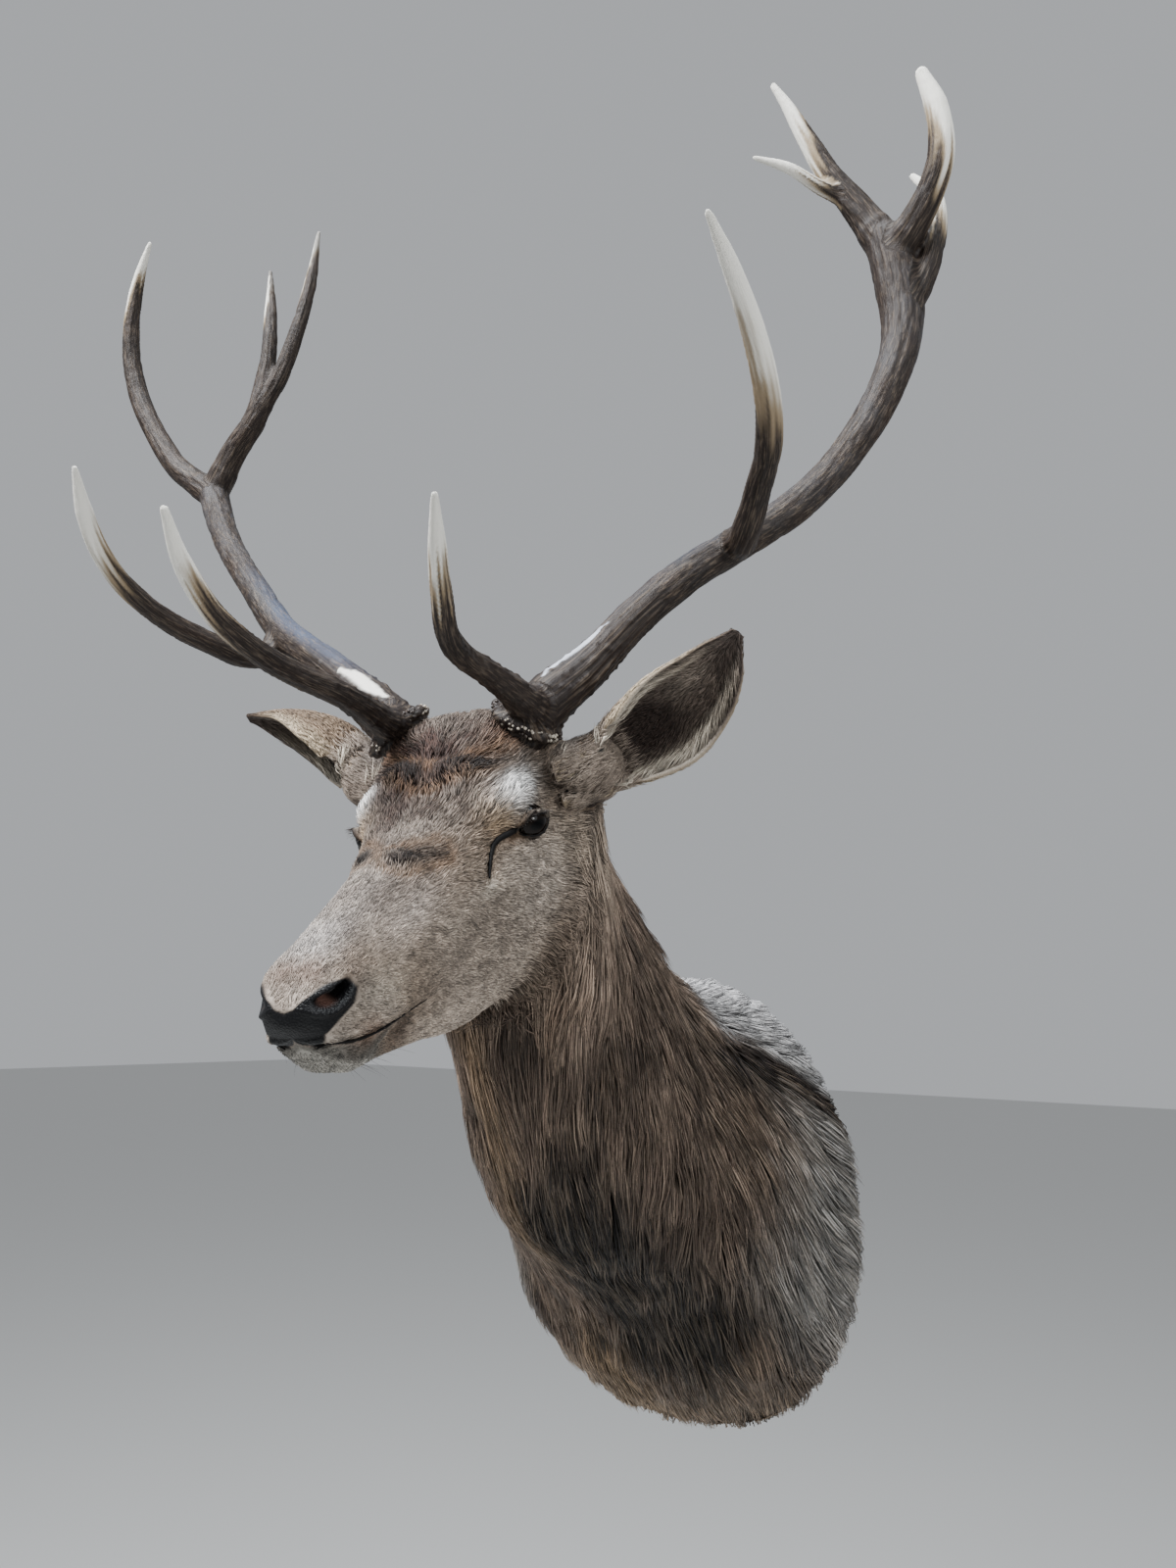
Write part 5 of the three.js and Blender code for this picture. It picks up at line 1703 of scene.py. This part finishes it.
def dress_antler(made, side, foot, axis):
    lines = tine_lines(side)
    samples = np.concatenate([line for _, line, *_ in lines])
    which = np.repeat(np.arange(len(lines)), TINE_STEPS)
    frames = [transported(t) for _, _, t, _, _ in lines]
    sides, ups = (np.concatenate([f[n] for f in frames]) for n in (0, 1))
    runs = np.concatenate([run for *_, run in lines])
    ends = np.array([run[-1] for *_, run in lines])
    bones = made.data
    relax(made, np.full(len(bones.vertices), 0.5), 5)
    places = vertex_places(made)
    near, _ = nearest(places, samples)
    line_number, run = which[near], runs[near]
    ray = places - samples[near]
    around = np.stack([(ray * sides[near]).sum(-1), (ray * ups[near]).sum(-1)], axis=1)
    around = around / (np.linalg.norm(around, axis=1, keepdims=True) + 1e-6)
    to_tip = ends[line_number] - run
    is_beam = line_number == 0
    normals = np.zeros(len(places) * 3)
    bones.vertices.foreach_get("normal", normals)
    normals = normals.reshape(-1, 3)
    grain_run = np.where(is_beam, np.interp(run, [0, 180, 1200], [0, 5.3, 130]), run / 12)
    grain = np.concatenate([around * 15.0, (grain_run + line_number * 40)[:, None]], axis=1)
    polish = np.array([POLISH[side].get(name, (105, 0, 0)) for name, *_ in lines])
    long_polish, pale_side, dark_tip = polish[line_number].T
    streaky = 34 * noise(grain, 3.4, 49) + 22 * noise(grain, 8.0, 50) - 42 * pale_side * side * normals[:, 0]
    worn = between(0, 60, to_tip)
    polished = np.where(is_beam, 0.0, 1 - between(15, long_polish, to_tip + streaky * worn))
    from_foot = np.linalg.norm(places - foot, axis=1)
    height = (places - foot) @ axis
    furrows = bell(noise(grain, 4.2, 41), 0.2) + 0.6 * bell(noise(grain, 2.6, 42), 0.2)
    beads = np.maximum(0, noise(places, 5.5, 43) - 0.12) * (1 - between(60, 210, from_foot))
    on_burr = (np.abs(height) < 10) & (from_foot > 20) & (from_foot < 40)
    knobs = np.maximum(0, noise(places, 6.0, 44)) * on_burr
    rough = (1 - polished) * (1 - 0.4 * between(500, 900, run))
    shift = 0.5 * lumps(places, 22, 45) * (1 - polished) - 0.95 * furrows * rough + 2.3 * beads + 3.0 * knobs
    places = places + normals * np.minimum(shift, 2.6)[:, None]
    bones.vertices.foreach_set("co", (places * MM).ravel())
    bones.update()
    patchy = lumps(places, 30, 46)
    horn = two_tone((44, 33, 27), (18, 13, 11), 0.55 + 0.7 * patchy)
    high = between(280, 460, run) * (1 - 0.75 * between(540, 700, run)) * is_beam
    horn = lay(horn, srgb(76, 75, 78), high * (0.25 + 0.6 * patchy))
    horn = lay(horn, srgb(34, 27, 24), 0.75 * furrows)
    horn = lay(horn, srgb(30, 23, 21), 0.9 * (1 - between(30, 110, from_foot)))
    # painted reflection: a blue-grey sky sheen laid on the upward-facing tops of the beams
    painted_sky_sheen = between(0.25, 0.8, normals[:, 2]) * is_beam * between(40, 130, from_foot)
    painted_sky_sheen *= 1 - between(280, 420, run)
    horn = lay(horn, srgb(86, 98, 122), painted_sky_sheen * (0.12 if side > 0 else 0.5) * (0.8 + 0.5 * patchy))
    horn = lay(horn, srgb(146, 128, 102), 0.85 * between(0.02, 0.3, polished))
    horn = lay(horn, srgb(226, 223, 214), between(0.25, 0.85, polished + 0.15 * patchy))
    horn = lay(horn, srgb(50, 40, 34),
               0.9 * dark_tip * (1 - between(25, 75, to_tip)) * between(-0.5, 0.1, streaky / 42))
    strip, wide, tint = WORN[side]
    gap, share = distance_to_line(places, from_head(mirrored(strip, side)))
    white = bell(gap, wide * np.sqrt(np.sin(np.pi * np.clip(share, 0.06, 0.94))))
    horn = lay(horn, srgb(*tint), between(0.25, 0.75, white + 0.25 * lumps(places, 7, 47)))
    set_values(made, "horn", horn, "FLOAT_COLOR")
    rubbed = polished * 1.2 + white + 0.6 - 0.3 * (1 - between(480, 600, run))
    set_values(made, "rubbed", np.clip(rubbed, 0, 1))
    made.data.attributes.new("grain", "FLOAT_VECTOR", "POINT").data.foreach_set(
        "vector", (grain * MM).astype(float).ravel())
    made.data.materials.clear()
    made.data.materials.append(bone)
    bones.polygons.foreach_set("use_smooth", np.ones(len(bones.polygons), bool))


WORN = {1: ([[86, 82, 106], [101, 102, 115], [119, 115, 123], [140, 129, 134]], 5.0, (176, 180, 190)),
        -1: ([[130, 115, 132], [110, 107, 126], [94, 94, 118], [72, 81, 107]], 8.5, (222, 218, 210))}
burrs = {}
for side, label in SIDES:
    antler, foot, axis = antler_body(side, label)
    dress_antler(antler, side, foot, axis)
    burrs[side] = (foot, axis)
    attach(antler, "root")
    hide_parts(*[f"antler_{label}_{name}" for name in ANTLERS[side]])
    print(antler.name, len(antler.data.polygons), "faces")

# %% [markdown]
# ## Pearls, lashes and whiskers
# These are many small things of one kind, which is what Geometry Nodes are for. A pearl is a
# ball set on a point of the burr. A lash or a whisker is a line given the thickness of a
# thread. Each tree has named inputs for its sizes, the bead tree also a fixed seed, and ends
# with real mesh, because instances would be lost outside Blender.

# %% Trees for beads and threads
def new_tree(name, inputs):
    tree = bpy.data.node_groups.new(name, "GeometryNodeTree")
    tree.interface.new_socket("Geometry", in_out="INPUT", socket_type="NodeSocketGeometry")
    for label, kind, value in inputs:
        tree.interface.new_socket(label, in_out="INPUT", socket_type=kind).default_value = value
    tree.interface.new_socket("Geometry", in_out="OUTPUT", socket_type="NodeSocketGeometry")
    return tree, tree.nodes.new("NodeGroupInput"), tree.nodes.new("NodeGroupOutput")


def end_tree(tree, shape, finish, end):
    """Makes the geometry real, smooth and coloured, and hands it out."""
    real = add_node(tree, "GeometryNodeRealizeInstances")
    smooth = add_node(tree, "GeometryNodeSetShadeSmooth")
    paint = add_node(tree, "GeometryNodeSetMaterial", Material=finish)
    for a, b in ((shape, real), (real, smooth), (smooth, paint), (paint, end)):
        tree.links.new(a.outputs[0], b.inputs["Geometry"])


def grown_by(made, tree, values):
    """Runs a tree on a piece with the values of its named inputs, and keeps the mesh."""
    modifier = made.modifiers.new("grow", "NODES")
    modifier.node_group = tree
    for item in tree.interface.items_tree:
        if item.in_out == "INPUT" and item.name in values:
            modifier[item.identifier] = values[item.name]
    return settle(made)


def bead_tree(finish):
    tree, start, end = new_tree("beads", [
        ("Smallest", "NodeSocketFloat", 0.001), ("Largest", "NodeSocketFloat", 0.002),
        ("Seed", "NodeSocketInt", 3)])
    beads = add_node(tree, "GeometryNodeMeshToPoints")
    size = add_node(tree, "FunctionNodeRandomValue")
    ball = add_node(tree, "GeometryNodeMeshIcoSphere", Radius=1.0, Subdivisions=2)
    put = add_node(tree, "GeometryNodeInstanceOnPoints")
    tree.links.new(start.outputs["Geometry"], beads.inputs["Mesh"])
    tree.links.new(start.outputs["Smallest"], size.inputs["Min"])
    tree.links.new(start.outputs["Largest"], size.inputs["Max"])
    tree.links.new(start.outputs["Seed"], size.inputs["Seed"])
    tree.links.new(beads.outputs["Points"], put.inputs["Points"])
    tree.links.new(ball.outputs["Mesh"], put.inputs["Instance"])
    tree.links.new(size.outputs["Value"], put.inputs["Scale"])
    end_tree(tree, put, finish, end)
    return tree


def thread_tree(finish):
    tree, start, end = new_tree("threads", [
        ("Radius", "NodeSocketFloat", 0.0002), ("Sides", "NodeSocketInt", 4)])
    lines = add_node(tree, "GeometryNodeMeshToCurve")
    taper = add_node(tree, "GeometryNodeInputNamedAttribute", Name="thick")
    section = add_node(tree, "GeometryNodeCurvePrimitiveCircle")
    swept = add_node(tree, "GeometryNodeCurveToMesh")
    swept.inputs["Fill Caps"].default_value = True
    tree.links.new(start.outputs["Geometry"], lines.inputs["Mesh"])
    tree.links.new(start.outputs["Radius"], section.inputs["Radius"])
    tree.links.new(start.outputs["Sides"], section.inputs["Resolution"])
    tree.links.new(lines.outputs["Curve"], swept.inputs["Curve"])
    tree.links.new(section.outputs["Curve"], swept.inputs["Profile Curve"])
    tree.links.new(taper.outputs["Attribute"], swept.inputs["Scale"])
    end_tree(tree, swept, finish, end)
    return tree


# %% Pearls of the burrs
PEARLS = 150  # round one burr
GOLDEN_ANGLE = 2.399963  # radians; steps of it never line up
pearl, tree, shader = node_material("burr_pearl")
spots = add_texture(tree, "ShaderNodeTexNoise", Scale=75.0, Detail=1.0)
add_ramp(tree, shader, spots, (48, 38, 33), (178, 168, 154), 0.5, 0.6)
set_inputs(shader, {"Roughness": 0.42})
beads = bead_tree(pearl)
for side, label in SIDES:
    foot, axis = burrs[side]
    angle = np.arange(PEARLS) * GOLDEN_ANGLE + RANDOM.normal(0, 0.05, PEARLS)
    level = RANDOM.choice([-3.6, 0.0, 3.4], PEARLS) + RANDOM.normal(0, 0.6, PEARLS)
    reach = 33.6 - 0.16 * level**2 + RANDOM.normal(0, 0.35, PEARLS)
    points = foot + burr_spokes(axis, angle) * reach[:, None] + axis * level[:, None]
    row = bpy.data.meshes.new(f"pearls_{label}")
    row.from_pydata((points * MM).tolist(), [], [])
    row = bpy.data.objects.new(f"pearls_{label}", row)
    bpy.context.scene.collection.objects.link(row)
    grown_by(row, beads, {"Smallest": 0.0008, "Largest": 0.0017, "Seed": 5 + side})
    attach(row, "root")
print("pearls:", len(row.data.polygons), "faces a side")


# %% Lashes and whiskers
LASHES, WHISKERS = 44, 26  # on one side
THREAD_POINTS = 7


def threads(name, roots, aims, bends, lengths, radius, finish):
    """Curved tapering threads from roots, bending a little on their way."""
    share, bends = np.linspace(0, 1, THREAD_POINTS), np.broadcast_to(bends, roots.shape)
    points = (roots[:, None] + aims[:, None] * (share * lengths[:, None])[..., None]
              + bends[:, None] * (share**2 * lengths[:, None])[..., None])
    first = np.arange(len(roots))[:, None] * THREAD_POINTS + np.arange(THREAD_POINTS - 1)[None]
    edges = np.stack([first.ravel(), first.ravel() + 1], axis=1)
    mesh = bpy.data.meshes.new(name)
    mesh.from_pydata((points.reshape(-1, 3) * MM).tolist(), edges.tolist(), [])
    made = bpy.data.objects.new(name, mesh)
    bpy.context.scene.collection.objects.link(made)
    set_values(made, "thick", np.tile(1 - 0.85 * share, len(roots)))
    grown_by(made, thread_tree(finish), {"Radius": radius, "Sides": 4})
    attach(made, "root")


dark_thread, tree, shader = node_material("lash_hair")
shade = add_texture(tree, "ShaderNodeTexNoise", Scale=300.0)
add_ramp(tree, shader, shade, (20, 15, 13), (58, 46, 38))
set_inputs(shader, {"Roughness": 0.5})
for side, label in SIDES:
    rim_line, height = opening_line(1.03, 2.4, 150)
    upper = np.where(height > 0.25)[0]
    upper = upper[np.linspace(0, len(upper) - 1, LASHES).astype(int)]
    lashes = rim_line[upper] + RANDOM.normal(0, 0.25, (LASHES, 3))
    out = unit(lashes - EYE["centre"])
    aim = unit(out + EYE_UP * 0.1 + RANDOM.normal(0, 0.12, (LASHES, 3)))
    bend = EYE_UP * -0.45 + RANDOM.normal(0, 0.08, (LASHES, 3))
    threads(f"lashes_{label}", from_head(mirrored(lashes, side)), to_world_direction(mirrored(aim, side)),
            to_world_direction(mirrored(bend, side)), RANDOM.uniform(6, 10, LASHES), 0.00022, dark_thread)
    on_lips = (ROW_S > 1.2) & (ROW_S < 5.2) & (TURN > 88) & (TURN < 150) & (ON_LEFT == (side > 0))
    spots = body.scatter(WHISKERS, on_lips.astype(float), RANDOM)
    roots = body.look(body.points, *spots)
    out = unit(body.look(body.normals, *spots))
    back = to_world_direction(np.array([0, 1.0, -0.3]))
    threads(f"whiskers_{label}", roots, unit(out * 0.9 + back + RANDOM.normal(0, 0.15, roots.shape)),
            back * 0.3 + [0, 0, -0.25], RANDOM.uniform(12, 22, len(roots)), 0.00012, dark_thread)
print("lashes and whiskers done")

# %% [markdown]
# ## Board and hanger
# The mount's back is a flat board with a steel plate over its keyhole. Both keep the exact
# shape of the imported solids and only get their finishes: sealed wood with grain along its
# height, and zinc-coated steel with fine brushing.

# %% Board and hanger finishes
wood, tree, shader = node_material("board_wood")
rings = add_texture(tree, "ShaderNodeTexNoise", (1.0, 1.0, 0.06), Scale=60.0, Detail=5.0)
add_ramp(tree, shader, rings, (132, 96, 62), (186, 148, 104), 0.35, 0.65)
set_inputs(shader, {"Roughness": 0.6})
add_bump(tree, shader, rings.outputs["Fac"], 0.3, 0.0004)

steel, tree, shader = node_material("hanger_steel")
brushing = add_texture(tree, "ShaderNodeTexNoise", (0.05, 1.0, 1.0), Scale=700.0, Detail=3.0)
sheen = mapped(tree, brushing.outputs["Fac"], {"To Min": 0.28, "To Max": 0.5})
tree.links.new(sheen, shader.inputs["Roughness"])
set_inputs(shader, {"Base Color": (*srgb(176, 178, 180), 1), "Metallic": 1.0})

for node, finish in (("back_board", wood), ("hanger_plate", steel)):
    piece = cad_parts[node]
    for number in range(max(1, len(piece.material_slots))):
        if not piece.material_slots:
            piece.data.materials.append(finish)
        piece.material_slots[number].material = finish
print("board and hanger finished")
